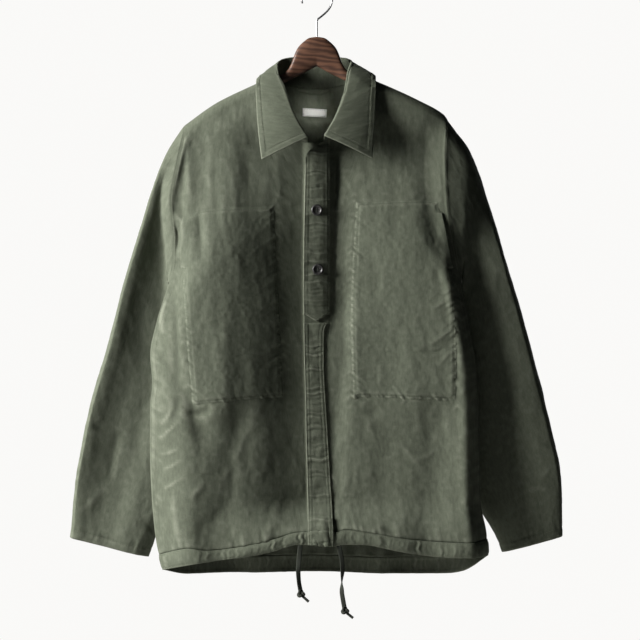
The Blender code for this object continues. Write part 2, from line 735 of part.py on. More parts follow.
def pockets(right, left, finish):
    """Patch pockets on the panels' own lines; the hand goes in at the upper outer edge."""
    top, bottom = POCKET_ROWS
    lift = CLOTH + LAY_GAP
    right_marks = [RIGHT_COLUMN_MARKS.index(1), RIGHT_COLUMN_MARKS.index(2)]
    left_marks = [LEFT_COLUMN_MARKS.index(3), LEFT_COLUMN_MARKS.index(4)]
    for name, panel, marks in (("pocket_right", right, right_marks), ("pocket_left", left, left_marks)):
        patch = moved_out(panel, lift)[top:bottom + 1, marks[0]:marks[1] + 1]
        cloth(name, patch, CLOTH, finish)


def placket_and_fly(left, finish):
    """The pointed buttonhole strip, and below it the strip down to the hem."""
    lift = CLOTH + LAY_GAP
    strip = moved_out(left, lift)[:PLACKET_ROW + 1, :3].copy()
    point_depth = 0.0045
    strip[-1, :, 2] += np.array([point_depth, -0.6 * point_depth, point_depth])
    cloth("placket", strip, CLOTH, finish)
    columns, levels = left_grid()
    x, z = crossings(columns, LEFT_COLUMN_MARKS[:3], levels, LEVEL_MARKS[PLACKET_ROW:-1] + HEM_MARKS)
    z[0] -= 0.010
    points = with_y(x, z, left_front_y(x, z))
    over_hem = np.where(np.array(LEVEL_MARKS[PLACKET_ROW:-1] + HEM_MARKS) > 4.9, 0.0024, 0)[:, None, None]
    cloth("fly_strip", moved_out(points, lift + over_hem), CLOTH, finish)


# ---------------------------------------------------------------- sleeves

def sleeve(name, front, back, outer_line, inner_line, trough, finish):
    """Rings from the armhole's own edge points to the cuff.

    front and back are the armhole's points from shoulder tip to underarm; each with its neighbour one
    column in, which gives the way out of the seam.
    """
    def seam(edge, inner):
        way = edge - inner
        return edge + way / np.linalg.norm(way, axis=-1, keepdims=True) * ARMHOLE_GAP

    front_seam, back_seam = seam(*front), seam(*back)
    tip = (front_seam[0] + back_seam[0]) / 2
    underarm = (front_seam[-1] + back_seam[-1]) / 2
    loop = np.vstack([tip, front_seam[1:-1], underarm, back_seam[-2:0:-1]])
    height = (tip[2] - loop[:, 2]) / (tip[2] - underarm[2])
    angle = np.arccos(np.clip(1 - 2 * height, -1, 1))
    angle[len(front_seam):] *= -1

    def oval(t):
        out_x, out_z = smooth(outer_line, "t", "x", t), smooth(outer_line, "t", "z", t)
        in_x, in_z = smooth(inner_line, "t", "x", t), smooth(inner_line, "t", "z", t)
        part = (1 - np.cos(angle)) / 2
        dent = smooth(SLEEVE_TROUGH, "t", "depth", t) * trough
        dent = dent * np.exp(-0.5 * ((part - TROUGH_PLACE) / TROUGH_WIDTH) ** 2) * np.maximum(np.sin(angle), 0) ** .5
        y = smooth(SLEEVE_DEPTH, "t", "y", t) - smooth(SLEEVE_DEPTH, "t", "depth", t) * np.sin(angle) + dent
        return with_y(between(out_x, in_x, part), between(out_z, in_z, part), y)

    own_shape = loop - oval(0)
    reach = between(ARMHOLE_REACH, UNDERARM_REACH, ((1 - np.cos(angle)) / 2) ** 2)[:, None]
    rings = [oval(t) + own_shape * (1 - ease(t / reach)) ** 2 for t in SLEEVE_MARKS]
    points = np.array(rings)
    points = np.concatenate([points, points[:, :1]], axis=1)
    return cloth(name, points, CLOTH, finish, tube=True)


def armhole(points, column, neighbour):
    return points[:UNDERARM_ROW + 1, column], points[:UNDERARM_ROW + 1, neighbour]


# ---------------------------------------------------------------- collar

def clear_of_body(point):
    """Moves a point of the leaf away from the body where it would lie too close."""
    x, y, z = point
    if abs(y) < OVER_SHOULDER:
        return np.array([x, y, max(z, float(ridge(x)) + COLLAR_CLEARANCE)])
    lowered = z - COLLAR_CLEARANCE
    if lowered > ridge(x):
        return point
    if y < 0:
        folds = RIGHT_FOLDS if x < 0 else LEFT_FOLDS
        y = min(y, float(front_y(np.array(x), np.array(lowered), folds)) - COLLAR_CLEARANCE)
    else:
        y = max(y, float(back_y(np.array(x), np.array(lowered))) + COLLAR_CLEARANCE)
    return np.array([x, y, z])


def collar_section(at):
    def value(column):
        return float(smooth(COLLAR, "section", column, at))
    here = (np.array(value("neck_x")), np.array(value("neck_z")))
    if SHOULDER_SECTIONS[0] <= at <= SHOULDER_SECTIONS[1]:
        seam_y = back_y(*here)
    else:
        seam_y = right_front_y(*here) if here[0] < 0 else left_front_y(*here)
    neck = np.array([here[0], seam_y, here[1]])
    roll = np.array([value("roll_x"), value("roll_y"), value("roll_z")])
    edge = np.array([value("edge_x"), value("edge_y"), value("edge_z")])
    neck += (roll - neck) / np.linalg.norm(roll - neck) * NECK_GAP
    neck[0] -= np.sign(neck[0]) * SIDE_NECK_GAP * min(1, abs(neck[0]) / NECK_HALF_WIDTH) ** 2
    out = np.array([roll[0] - NECK_CENTRE[0], roll[1] - NECK_CENTRE[1], 0])
    out /= np.linalg.norm(out)
    turn = roll + out * COLLAR_FOLD
    crest = (roll + turn) / 2 + np.array([0, 0, COLLAR_CREST])
    leaf = []
    for part in (0.3, 0.65, 1.0):
        bow = out * COLLAR_BOW * sin(pi * part)
        leaf.append(clear_of_body(between(turn, edge, part) + bow))
    return [neck, between(neck, roll, 0.5), roll, crest, turn, *leaf]


def collar(finish):
    points = np.array([collar_section(at) for at in COLLAR_STATIONS]).transpose(1, 0, 2)
    cloth("collar", points, CLOTH, finish)


# ---------------------------------------------------------------- small pieces

def buttons(finish):
    """Turned discs with a raised rim, square to the placket under them."""
    profile = table(
        "radius height",
        (0.0000, 0.0016),
        (0.0045, 0.0017),
        (0.0060, 0.0027),
        (0.0076, BUTTON_HEIGHT),
        (BUTTON_RADIUS, 0.0018),
        (0.0078, 0.0000),
    )
    sides = 20
    for name, (x, z) in BUTTON_PLACES.items():
        front = float(left_front_y(np.array(x), np.array(z))) - 1.5 * CLOTH - 2 * LAY_GAP
        rings = [[(x + row["radius"] * cos(2 * pi * k / sides), front - row["height"],
                   z + row["radius"] * sin(2 * pi * k / sides)) for k in range(sides)]
                 for row in profile[1:]]
        loft(name, rings, finish)


def label(finish):
    """A bare strip sewn on the inside of the back."""
    across, down = np.meshgrid(np.linspace(-.5, .5, 5) * LABEL_SIZE[0], np.linspace(.5, -.5, 3) * LABEL_SIZE[1])
    x = LABEL_CENTRE[0] + across * cos(LABEL_TILT) - down * sin(LABEL_TILT)
    z = LABEL_CENTRE[1] + across * sin(LABEL_TILT) + down * cos(LABEL_TILT)
    y = back_y(x, z) - CLOTH / 2 - LABEL_WALL / 2 - LAY_GAP - 0.0004
    cloth("label", with_y(x, z, y), LABEL_WALL, finish)


def hanging_loop(finish):
    """A narrow strip across the back neck seam that stands a little off the cloth between its ends."""
    steps = np.linspace(0, 1, 9)
    lines = []
    for part in (0, 1):
        x = between(*LOOP_ENDS, steps)
        rise = np.sin(pi * steps)
        z = smooth(BACK_TOP, "x", "z", x) - 0.0010 - LOOP_SAG * rise - part * LOOP_HEIGHT
        y = back_y(x, z) - CLOTH - LAY_GAP - LOOP_BOW * rise
        lines.append(with_y(x, z, y))
    cloth("hanging_loop", np.array(lines), CLOTH * 0.8, finish)


def through(points, steps):
    """A smooth curve through hand-placed points."""
    rows = [dict(step=k, x=point[0], y=point[1], z=point[2]) for k, point in enumerate(points)]
    at = np.linspace(0, len(points) - 1, steps + 1)
    return np.stack([smooth(rows, "step", axis, at) for axis in "xyz"], axis=-1)


def tape_route(name):
    """Where a tape hangs, in metres."""
    surface = right_front_y if name == "drawstring_right" else left_front_y
    x = np.array(TAPE_EXITS[name])
    z = smooth(FRONT_HEM, "x", "z", x) - TAPE_GAP
    y = surface(x, z, HEM_WALL)
    return [(float(x) + row["x"], float(y) + row["further_back"], float(z) - row["down"]) for row in TAPES[name]]


def drawstrings(finish):
    for name, (knot, way) in zip(TAPES, KNOT_DIRECTIONS.items()):
        route = tape_route(name)
        tube(name, through(route, TAPE_STEPS), TAPE_RADIUS, finish)
        start = Vector(route[-1]) + (Vector(route[-1]) - Vector(route[-2])).normalized() * SEAM_GAP
        first_way = (Vector(route[-1]) - Vector(route[-2])).normalized()
        last_way = Vector(way).normalized()
        rings, centre, walked = [], start, 0.0
        for row in KNOT_PROFILE:
            part = row["along"] / KNOT_PROFILE[-1]["along"]
            heading = first_way.lerp(last_way, min(1.0, 1.6 * part)).normalized()
            centre = centre + heading * (row["along"] - walked)
            walked = row["along"]
            side = heading.cross(Vector((0, 1, 0))).normalized()
            other = heading.cross(side)
            rings.append([centre + (side * cos(2 * pi * k / KNOT_SIDES) + other * sin(2 * pi * k / KNOT_SIDES))
                          * row["radius"] for k in range(KNOT_SIDES)])
        loft(knot, rings, finish)


# ---------------------------------------------------------------- hanger and hook

def hanger(finish):
    """One body from tip to tip: upright oval sections, thin over the hump and rounder along the arms."""
    hump_end = HUMP[-1]["x"]
    arm_parts = [0.08, 0.22, 0.4, 0.58, 0.74, 0.87, 0.95, 0.985, 1.0]
    stations = [-row["x"] for row in reversed(HUMP)] + [row["x"] for row in HUMP[1:]]
    stations = ([between(-hump_end, ARM_TIP_RIGHT, part) for part in reversed(arm_parts)] + stations
                + [between(hump_end, ARM_TIP_LEFT, part) for part in arm_parts])
    sides = 12
    rings = []
    for x in stations:
        tip = ARM_TIP_RIGHT if x < 0 else ARM_TIP_LEFT
        beyond = max(0.0, (abs(x) - hump_end) / (abs(tip) - hump_end))
        arm_top = float(ridge(np.array(x))) - CLOTH / 2 - HANGER_CLEARANCE
        if beyond <= 0:
            top, bottom = (float(smooth(HUMP, "x", side, abs(x))) for side in ("top", "bottom"))
            arm_share = float(ease(np.array((abs(x) - 0.030) / 0.028)))
            top = min(top, between(top, arm_top, arm_share))
        else:
            top = arm_top
            bottom = top - ARM_HEIGHT
            arm_share = 1.0
        thicker = float(ease(np.array((abs(x) - 0.078) / 0.045)))
        half_depth = between(HUMP_HALF_DEPTH, ARM_HALF_DEPTH, thicker) * (1 - ARM_TAPER * beyond ** 2)
        end_round = float(quarter_round(np.array((1 - beyond) / 0.06))) * 0.75 + 0.25
        middle, half_height = (top + bottom) / 2, (top - bottom) / 2 * end_round
        middle = top - (top - bottom) / 2 - 0.002 * (1 - end_round)
        rings.append([(x, half_depth * end_round * np.sign(cos(a)) * abs(cos(a)) ** 0.75,
                       middle + half_height * np.sign(sin(a)) * abs(sin(a)) ** 0.9)
                      for a in (2 * pi * k / sides for k in range(sides))])
    loft("hanger", rings, finish)


def hook(finish):
    """Straight stem, a bend to the left side and a round arch over the origin."""
    centre_z = WIRE_RADIUS - HOOK_RADIUS
    stem = [(0, 0, HUMP[0]["top"] + SEAM_GAP), (0, 0, -0.072), (0, 0, -0.0625), (0.0012, 0, -0.0585),
            (0.0060, 0, -0.0545), (0.0120, 0, -0.0495), (0.0178, 0, -0.0436), (0.0220, 0, -0.0365)]
    arch = [(HOOK_RADIUS * cos(a), 0, centre_z + HOOK_RADIUS * sin(a))
            for a in np.linspace(HOOK_FROM, HOOK_TO, 25)]
    tube("hook", stem + arch, WIRE_RADIUS, finish, bevel_resolution=3)


# ---------------------------------------------------------------- the whole

def main():
    for old in list(bpy.data.objects):
        bpy.data.objects.remove(old, do_unlink=True)
    olive = material("olive cotton", (0.115, 0.130, 0.093), 0.85)
    pocket_olive = material("pocket cotton", (0.110, 0.125, 0.090), 0.85)
    tape_olive = material("tape", (0.030, 0.034, 0.028), 0.80)
    bare_label = material("bare label", (0.50, 0.50, 0.47), 0.70)
    dark_button = material("dark button", (0.015, 0.015, 0.017), 0.35)
    wood = material("stained wood", (0.105, 0.045, 0.028), 0.45)
    steel = material("steel wire", (0.55, 0.55, 0.56), 0.30, 1.0)

    right, left, back = right_front_points(), left_front_points(), back_points()
    cloth("front_right", right, CLOTH, olive)
    cloth("front_left", left, CLOTH, olive)
    cloth("back", back, CLOTH, olive)
    hem_bands(olive)
    pockets(right, left, pocket_olive)
    placket_and_fly(left, olive)
    sleeve("sleeve_right", armhole(right, 0, 1), armhole(back, 0, 1), RIGHT_OUTSIDE, RIGHT_INSIDE, 1.0, olive)
    sleeve("sleeve_left", armhole(left, -1, -2), armhole(back, -1, -2), LEFT_OUTSIDE, LEFT_INSIDE, 0.35, olive)
    collar(olive)
    buttons(dark_button)
    label(bare_label)
    hanging_loop(olive)
    drawstrings(tape_olive)
    hanger(wood)
    hook(steel)


main()
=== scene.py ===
"""The look of the loose cotton shirt jacket on its wooden hanger: fine cloth, sewing, wood, wire, light and camera.

Metres, +Z up, the front faces -Y, the origin at the inner top of the hook. Right and left are the wearer's.
The tables of lines and folds are those of the part, so each fine piece lies where its solid does.
"""

from math import cos, pi, radians, sin

import bmesh
import bpy
import numpy as np
from mathutils import Matrix, Vector
from mathutils.bvhtree import BVHTree


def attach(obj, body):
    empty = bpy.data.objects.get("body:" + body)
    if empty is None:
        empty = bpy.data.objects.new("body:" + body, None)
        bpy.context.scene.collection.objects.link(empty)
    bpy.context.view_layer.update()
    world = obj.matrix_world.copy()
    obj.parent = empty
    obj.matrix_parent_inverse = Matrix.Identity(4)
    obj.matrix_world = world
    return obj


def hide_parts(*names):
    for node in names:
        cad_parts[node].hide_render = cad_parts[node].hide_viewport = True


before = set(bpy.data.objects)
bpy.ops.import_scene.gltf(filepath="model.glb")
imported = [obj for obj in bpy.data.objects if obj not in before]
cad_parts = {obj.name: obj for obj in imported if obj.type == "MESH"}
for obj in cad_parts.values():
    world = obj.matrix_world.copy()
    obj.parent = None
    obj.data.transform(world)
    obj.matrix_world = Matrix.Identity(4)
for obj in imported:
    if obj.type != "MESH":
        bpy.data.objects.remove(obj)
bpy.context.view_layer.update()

# Walls and gaps
CLOTH = 0.0014
HEM_WALL = 0.0022          # the hem tunnel is two layers with a tape inside
LABEL_WALL = 0.0010
SEAM_GAP = 0.0003
RIDGE_GAP = 0.0002         # between front and back in the shoulder seam
LAY_GAP = 0.0005           # between a panel and a piece sewn flat on it
LAP_LEAD = 0.004           # the right front starts to come up to the left one this far outside its edge
LAP_TURN = 0.018           # and is up within this distance
LAP_GAP = 0.0040           # the right front lies this far behind the left front where they lap
NECK_GAP = 0.0002          # the collar meets the neck edge in its seam
SIDE_NECK_GAP = 0.0002

# How the cloth leaves the hanger
RIDGE_TURN = 0.017         # radius of the cloth's turn over the hanger's arms
FRONT_FULLNESS = 0.050     # further depth that the front gains below the shoulders
BACK_FULLNESS = 0.040
FULL_BY = 0.26             # drop below the ridge at which the fullness is complete
NECK_SWELL = 0.014         # the neck stands off the hanger's hump by this much more
NECK_HALF_WIDTH = 0.070
LEFT_TURN = 0.45           # below the armhole the left side turns in over this much of the width in SIDE
EDGE_FADE = 0.035          # folds run out within this distance of a side edge

# Buttons
BUTTON_RADIUS = 0.0088
BUTTON_PROFILE = ((0, 0.0015), (0.0044, 0.0016), (0.0054, 0.0021), (0.0062, 0.0028), (0.0070, 0.0030),
                  (0.0079, 0.0028), (0.0087, 0.0020), (BUTTON_RADIUS, 0.0013), (0.0085, 0.0006), (0.0078, 0), (0, 0))
BUTTON_HOLE = 0.00085
HOLE_OFFSET = 0.0017       # of each hole's centre from the button's, across and down
THREAD_BAR = ((-0.0017, 0.0002), (-0.0013, 0.0021), (0.0013, 0.0021), (0.0017, 0.0002))   # along, and how proud
BUTTON_PLACES = {"button_upper": (0.0004, -0.3582), "button_lower": (0.0020, -0.4494)}

# Label and hanging loop, inside the back neck
LABEL_CENTRE = (-0.0036, -0.2003)
LABEL_SIZE = (0.038, 0.0125)
LABEL_TILT = radians(-3.0)
LOOP_ENDS = (-0.0310, 0.0195)
LOOP_HEIGHT = 0.0055
LOOP_BOW = 0.0022
LOOP_SAG = 0.0020

# Hanger and hook
HUMP_HALF_DEPTH = 0.0068
ARM_HALF_DEPTH = 0.0118
ARM_HEIGHT = 0.0185
ARM_TAPER = 0.35
HANGER_CLEARANCE = 0.0015  # from the arm's top to the cloth's underside
WIRE_RADIUS = 0.0015
HOOK_RADIUS = 0.0246       # of the wire's centre line
HOOK_FROM, HOOK_TO = radians(-12.0), radians(205.0)

# Tapes and knots
TAPE_WIDTH, TAPE_THICKNESS = 0.0072, 0.0018
TAPE_TURNS = {"drawstring_right": [8, 4, -6, 12, 30, 20], "drawstring_left": [-10, 5, 10, 25, 80, 160, 175, 180]}

# Sewing
STITCH, STITCH_PITCH, THREAD_RADIUS = 0.0022, 0.0034, 0.0004
POCKET_SEAMS = (0.0016, 0.0078)      # the pocket's two stitch lines, from its edge
SIDE_SEAM_TOP = -0.466
HEM_SEAM_DEPTH = 0.0009


SHARES = {"t", "part", "share", "section", "back_slowness", "lean"}   # columns that aren't lengths


def table(columns, *rows):
    """Rows under named columns: lengths are written in millimetres and come out in metres."""
    return [{name: value if name in SHARES else round(value / 1000, 7) for name, value in zip(columns.split(), row)}
            for row in rows]


# Column lines of the two fronts: x at each height. edge is the armhole seam, then the side seam.
RIGHT_COLUMNS = table(
    "z edge pocket_out pocket_in neck free", (-150, -205.9, -185, -76, -72.6, 8),
    (-180, -205.9, -186, -75.2, -71.2, 8), (-224, -205.9, -188, -73.6, -66.5, 8), (-273, -213.9, -194, -70, -61, 8.5),
    (-345, -225, -203, -63, -52, 10), (-400, -220, -206.5, -60.5, -49, 10), (-435, -220.5, -207.5, -59, -47.5, 10),
    (-468, -227.5, -207.5, -57.5, -46, 10), (-530, -246.7, -203, -54.5, -43, 10),
    (-581, -256.5, -199, -52, -40.5, 10), (-624, -253.5, -195, -50, -38.5, 10.5),
    (-660, -256.8, -192.6, -48.5, -37, 11), (-723, -257.1, -192, -46, -35, 12), (-794, -254.8, -190, -44, -33, 13),
    (-863, -248.7, -188, -42, -31, 14), (-915, -237.5, -183, -41, -30, 14))
LEFT_COLUMNS = table(
    "z free placket_in neck pocket_in pocket_out edge", (-145, -17.9, 19.5, 70.4, 73.6, 180, 202.3),
    (-175, -17.9, 19.5, 69, 72.8, 180.2, 202.3), (-213, -17.9, 19.5, 62.5, 70, 181, 202.3),
    (-285, -17.9, 19.5, 53, 62.5, 185, 199), (-345, -19.4, 19.5, 48, 58.2, 190, 201.4),
    (-382, -20, 19.5, 46, 56, 197, 206.5), (-425, -20.8, 19.5, 43.5, 53.5, 204.5, 214.2),
    (-464, -20.9, 19.5, 41.5, 51.8, 210.5, 221.8), (-519, -20.3, 19.5, 40, 50.6, 215, 233),
    (-545, -20, 11, 39.5, 50.6, 216.5, 237.3), (-590, -19, 10.5, 40, 51.5, 217.5, 244.7),
    (-650, -17.5, 13.5, 42, 53.5, 216, 249.2), (-700, -16.6, 16.5, 44, 55, 215, 250.6),
    (-758, -15.2, 20, 46, 56, 214, 251.8), (-809, -14, 23.5, 48, 57, 214, 253), (-858, -12.8, 25.2, 49, 58, 217, 262),
    (-895, -12, 25.4, 49, 58, 218, 264.5))
BACK_COLUMNS = table(
    "z neck_right neck_left", (-145, -76, 73.6), (-500, -82, 80), (-930, -86, 84))

# Level lines: z across the body. The first is the shoulder ridge with the hanger's line over the neck.
RIDGE = table(
    "x z", (-205.9, -224.4), (-166.6, -195.8), (-151, -186.3), (-93.3, -158.8), (-76, -151), (-40, -137), (0, -130),
    (40, -135), (73.6, -147.9), (90.8, -154.5), (161, -186.3), (197.2, -206.9), (202.3, -213.4))
RIGHT_TOP = RIDGE[:5] + table(
    "x z", (-72.2, -170), (-65, -200), (-52, -228), (-30, -246), (-13.3, -252), (8, -249.5))
LEFT_TOP = table(
    "x z", (-17.9, -283.2), (-15.5, -272), (-8.7, -263.4), (11.1, -249.7), (30, -243.5), (50, -226), (63.2, -197),
    (69.8, -167)) + RIDGE[8:]
BACK_TOP = RIDGE[:5] + table(
    "x z", (-55, -157), (-30, -161.5), (0, -163.5), (30, -161), (55, -155.5)) + RIDGE[8:]
POCKET_TOP = table(
    "x z", (-226, -372), (-202, -369.3), (-176.6, -355.3), (-63, -348.1), (58.2, -343), (170, -339), (190.5, -343.5),
    (201.4, -352))
UNDERARM = table("x z", (-227.5, -468.4), (221.8, -463.8))
PLACKET_END = table("x z", (-245, -528), (-20, -524.5), (19.5, -524.5), (234, -524))
POCKET_BOTTOM = table(
    "x z", (-256.8, -664), (-192.6, -659.2), (-48.5, -648.8), (53.5, -648.7), (216, -653.9), (249.5, -656))
FRONT_HEM_SEAM = table(
    "x z", (-245, -890.5), (-213.8, -879.7), (-195.4, -876), (-169.5, -879.7), (-103.2, -871.3), (-66.2, -862.2),
    (-29.1, -852), (14, -850), (30.9, -851), (44.6, -847.4), (78.9, -852), (152.8, -864), (235.8, -868),
    (264, -865.5))
FRONT_HEM = table(
    "x z", (-237.5, -913.1), (-204.6, -903.8), (-176.9, -898.1), (-103.2, -887.2), (-66.2, -879.7), (-29.1, -869.5),
    (5, -871), (23.3, -872.5), (41.6, -869.5), (69.6, -869.5), (125.1, -879.7), (189.7, -889), (264.5, -890.7))
BACK_HEM_SEAM = table(
    "x z", (-245, -890.5), (-146.2, -899.5), (0, -901), (140, -902.5), (210, -894), (264, -865.5))
BACK_HEM = table(
    "x z", (-237.5, -913.1), (-200, -922), (-88.7, -927.3), (20.9, -927.3), (139.7, -929.4), (197.5, -924.6),
    (226.5, -917.8), (264.5, -890.7))

# The side: where the two surfaces' edges lie, and over what distance each turns in to its full depth.
SIDE = table(
    "z front_y back_y front_turn back_turn back_slowness", (-205, -12, 12, 40, 40, 1), (-260, -24, 22, 45, 50, 1),
    (-310, -34, 31, 55, 65, 1), (-370, -40, 30, 60, 90, 1.1), (-425, -38, 8, 60, 120, 1.3),
    (-464, -31, -31, 60, 150, 1.5), (-560, -32, -32, 60, 150, 1.8), (-750, -30, -30, 65, 150, 1.8),
    (-915, -24, -24, 65, 130, 1.5))

# Long soft folds: a line from top to bottom, its width to each side, and its rise towards the outside.
FOLD = "top_x top_z bottom_x bottom_z right_width left_width rise"
RIGHT_FOLDS = table(
    FOLD,
    (26, -262, 18, -800, 70, 150, -24),   # both fronts sink towards the middle
    (-22, -262, -12, -800, 52, 14, -17),   # valley beside the placket
    (-198, -245, -199, -470, 7, 12, 5),   # ridge along the armhole
    (-150, -230, -135, -640, 22, 30, 5),   # the pocket's swell
    (-215, -610, -180, -690, 10, 14, -5),   # drag under the pocket's corner
    (-120, -690, -150, -880, 20, 20, -5),
)
LEFT_FOLDS = table(
    FOLD,
    (26, -262, 18, -800, 70, 150, -24),   # both fronts sink towards the middle
    (36, -275, 29, -500, 12, 22, -7),   # trough beside the placket
    (45, -500, 33, -680, 9, 9, -2),
    (60, -540, 53, -760, 14, 30, 3),
    (145, -260, 150, -640, 40, 35, 4),   # the pocket's swell
    (190, -680, 170, -880, 20, 25, -5),
)
BACK_FOLDS = table(
    FOLD, (-125, -260, -105, -900, 22, 26, -12), (10, -300, -5, -920, 30, 34, 9), (115, -280, 95, -900, 26, 20, -13))
FOLD_FADE = 0.060

# The sleeves' two silhouettes, at fractions of the way from armhole to cuff
RIGHT_OUTSIDE = table(
    "t x z", (0, -205.9, -224.4), (0.07, -232, -263), (0.14, -250.7, -306.5), (0.264, -277, -385.7),
    (0.395, -303.6, -470.2), (0.528, -325.3, -556.8), (0.69, -356.5, -661.7), (0.796, -371, -731.2),
    (0.869, -379.3, -779.8), (1, -387, -867.5))
RIGHT_INSIDE = table(
    "t x z", (0, -227.5, -468.4), (0.02, -230.5, -470.5), (0.06, -232.5, -480), (0.12, -227, -504),
    (0.19, -217, -545), (0.35, -204, -620), (0.53, -205, -700), (0.69, -218, -770), (0.83, -235, -830),
    (0.93, -253, -868.6), (1, -265.1, -898.7))
LEFT_OUTSIDE = table(
    "t x z", (0, 202.3, -213.4), (0.09, 240.2, -267.3), (0.19, 264.9, -332.3), (0.49, 323.6, -527),
    (0.61, 344.4, -605.2), (0.738, 365.2, -688.4), (0.86, 382.2, -766.6), (0.912, 384.7, -800.2), (1, 385.4, -864.3))
LEFT_INSIDE = table(
    "t x z", (0, 221.8, -463.8), (0.02, 224.5, -466), (0.06, 226.5, -475), (0.12, 221, -500), (0.19, 211, -545),
    (0.35, 200, -620), (0.53, 206, -700), (0.69, 225, -760), (0.83, 252, -815), (0.93, 279, -860), (1, 292.4, -891))
SLEEVE_DEPTH = table(
    "t y depth", (0, 0, 34), (0.1, 10, 42), (0.25, 22, 42), (0.5, 23, 38), (0.8, 22, 31), (1, 25, 24))
SLEEVE_TROUGHS = {   # how far the sleeve takes on its own front below, from armhole to cuff
    "sleeve_right": table("t share", (0, 0), (0.06, 0.3), (0.16, 1), (0.8, 1), (1, 0.6)),
    "sleeve_left": table("t share", (0, 0), (0.14, 0.1), (0.34, 0.8), (0.5, 1), (0.8, 1), (1, 0.6)),
}
SLEEVE_FRONTS = {   # how far the sleeve's front stands out, from its outer silhouette to its inner one
    "sleeve_right": table(
        "part share", (0, 0), (0.02, 0.6), (0.05, 0.88), (0.1, 0.84), (0.2, 0.66), (0.35, 0.48), (0.5, 0.43),
        (0.7, 0.58), (0.85, 0.6), (0.95, 0.36), (1, 0)),
    "sleeve_left": table(
        "part share", (0, 0), (0.012, 0.62), (0.035, 1.1), (0.07, 1.26), (0.15, 1.27), (0.35, 1.14),
        (0.5, 0.98), (0.7, 0.74), (0.88, 0.46), (0.95, 0.3), (1, 0)),
}
SLEEVE_RINGS = 165
CUFF_SEAM = 0.979            # of the way from armhole to cuff
ARMHOLE_REACH, UNDERARM_REACH = 0.22, 0.06   # the armhole's own shape fades over these parts of the sleeve

# The collar: sections from the right end round the back of the neck to the left end
COLLAR = table(
    "section neck_x neck_z roll_x roll_y roll_z edge_x edge_y edge_z",
    (0, -13.3, -252, -14, -50, -247.5, -84.4, -50, -280.9), (1, -30, -246, -24, -48, -232, -87.5, -46, -259),
    (2, -52, -228, -38.7, -42, -200.9, -91, -38, -225), (3, -65, -200, -49, -31, -170, -93, -30, -193),
    (4, -72.2, -170, -59, -18, -147, -94, -22, -170), (5, -76, -151, -61, -2, -131, -93, -4, -152),
    (6, -64, -154.3, -56, 20, -121, -88, 26, -160), (7, -35, -160.6, -37, 34, -115, -52, 47, -172),
    (8, 0, -163.5, 0, 39, -113, 0, 56, -175), (9, 35, -160.2, 34, 34, -115, 50, 47, -171),
    (10, 62, -152.8, 49, 20, -119, 85, 26, -157), (11, 73.6, -147.9, 53, 0, -126.5, 90.5, -4, -148),
    (12, 69.8, -167, 48, -19, -144, 91.5, -22, -166), (13, 63.2, -197, 42.5, -31, -176, 90.5, -30, -190),
    (14, 50, -226, 32, -43, -207, 89, -40, -224.3), (15, 30, -243.5, 21.5, -49, -229, 86.5, -47, -256),
    (16, 11.1, -249.7, 12, -52, -245.5, 85.1, -51, -279))
SHOULDER_SECTIONS = (5, 11)     # between these the collar's seam runs on the back
COLLAR_FOLD = 0.0036       # from the stand's middle to the leaf's where they turn over
COLLAR_CREST = 0.0012
COLLAR_BOW = 0.0035
COLLAR_CLEARANCE = 0.0045
OVER_SHOULDER = 0.010       # nearer the shoulder seam than this the leaf is lifted, further off it is moved out
NECK_CENTRE = (-0.004, -0.006)

# The hanger's hump: its top line and lower line from the middle outwards
HUMP = table(
    "x top bottom", (0, -85.2, -131.2), (11, -86.8, -137), (20.5, -93, -142.5), (28.5, -101, -146.2),
    (34.5, -110.5, -149), (38.5, -119.5, -151.2), (45, -131.5, -154.5), (57.7, -144, -161))
ARM_TIP_RIGHT, ARM_TIP_LEFT = -0.1970, 0.1920

# Free tapes below the hem: steps down from the tunnel's lower edge, where each comes out of a small gap
TAPE_EXITS = {"drawstring_right": -0.0250, "drawstring_left": 0.0338}
TAPES = {
    "drawstring_right": table(
        "x further_back down", (0, 0, 0), (-1.2, 0.5, 13), (-2.6, 1, 28), (-3.2, 1.5, 41), (-2.2, 2, 56),
        (0.2, 2, 70)),
    "drawstring_left": table(
        "x further_back down", (0, 0, 0), (2.4, 1, 11), (4.8, 3, 23), (5.6, 6, 39), (4.7, 9, 55), (4.6, 11, 70),
        (6.6, 12, 85), (8.6, 12, 96)),
}
TAPE_GAP = 0.0006          # below the hem's lower edge, which runs at a slant
KNOT_DIRECTIONS = {"knot_right": (0.62, -0.05, -0.55), "knot_left": (0.66, -0.05, -0.52)}
GRID_PASSES = 14           # each pass brings a crossing of two lines closer


# ---------------------------------------------------------------- numbers

def smooth(rows, key, column, at):
    """The column's value at a place along the key column: a cubic through the rows that never overshoots."""
    points = sorted((row[key], row[column]) for row in rows)
    keys = np.array([point[0] for point in points], float)
    values = np.array([point[1] for point in points], float)
    steps = np.diff(keys)
    rises = np.diff(values) / steps
    slopes = np.zeros(len(keys))
    slopes[0], slopes[-1] = rises[0], rises[-1]
    before, after = rises[:-1], rises[1:]
    same_way = before * after > 0
    total = np.where(same_way, before + after, 1.0)
    slopes[1:-1] = np.where(same_way, 2 * before * after / total, 0.0)
    at = np.clip(at, keys[0], keys[-1])
    k = np.clip(np.searchsorted(keys, at) - 1, 0, len(keys) - 2)
    u = (at - keys[k]) / steps[k]
    rise = (3 - 2 * u) * u * u
    return (values[k] * (1 - rise) + values[k + 1] * rise
            + steps[k] * (slopes[k] * u * (1 - u) ** 2 - slopes[k + 1] * u * u * (1 - u)))


def ease(u):
    u = np.clip(u, 0, 1)
    return u * u * (3 - 2 * u)


def quarter_round(u):
    u = np.clip(u, 0, 1)
    return np.sqrt(1 - (1 - u) ** 2)


def between(a, b, part):
    return a + (b - a) * part


# ---------------------------------------------------------------- the body's two surfaces

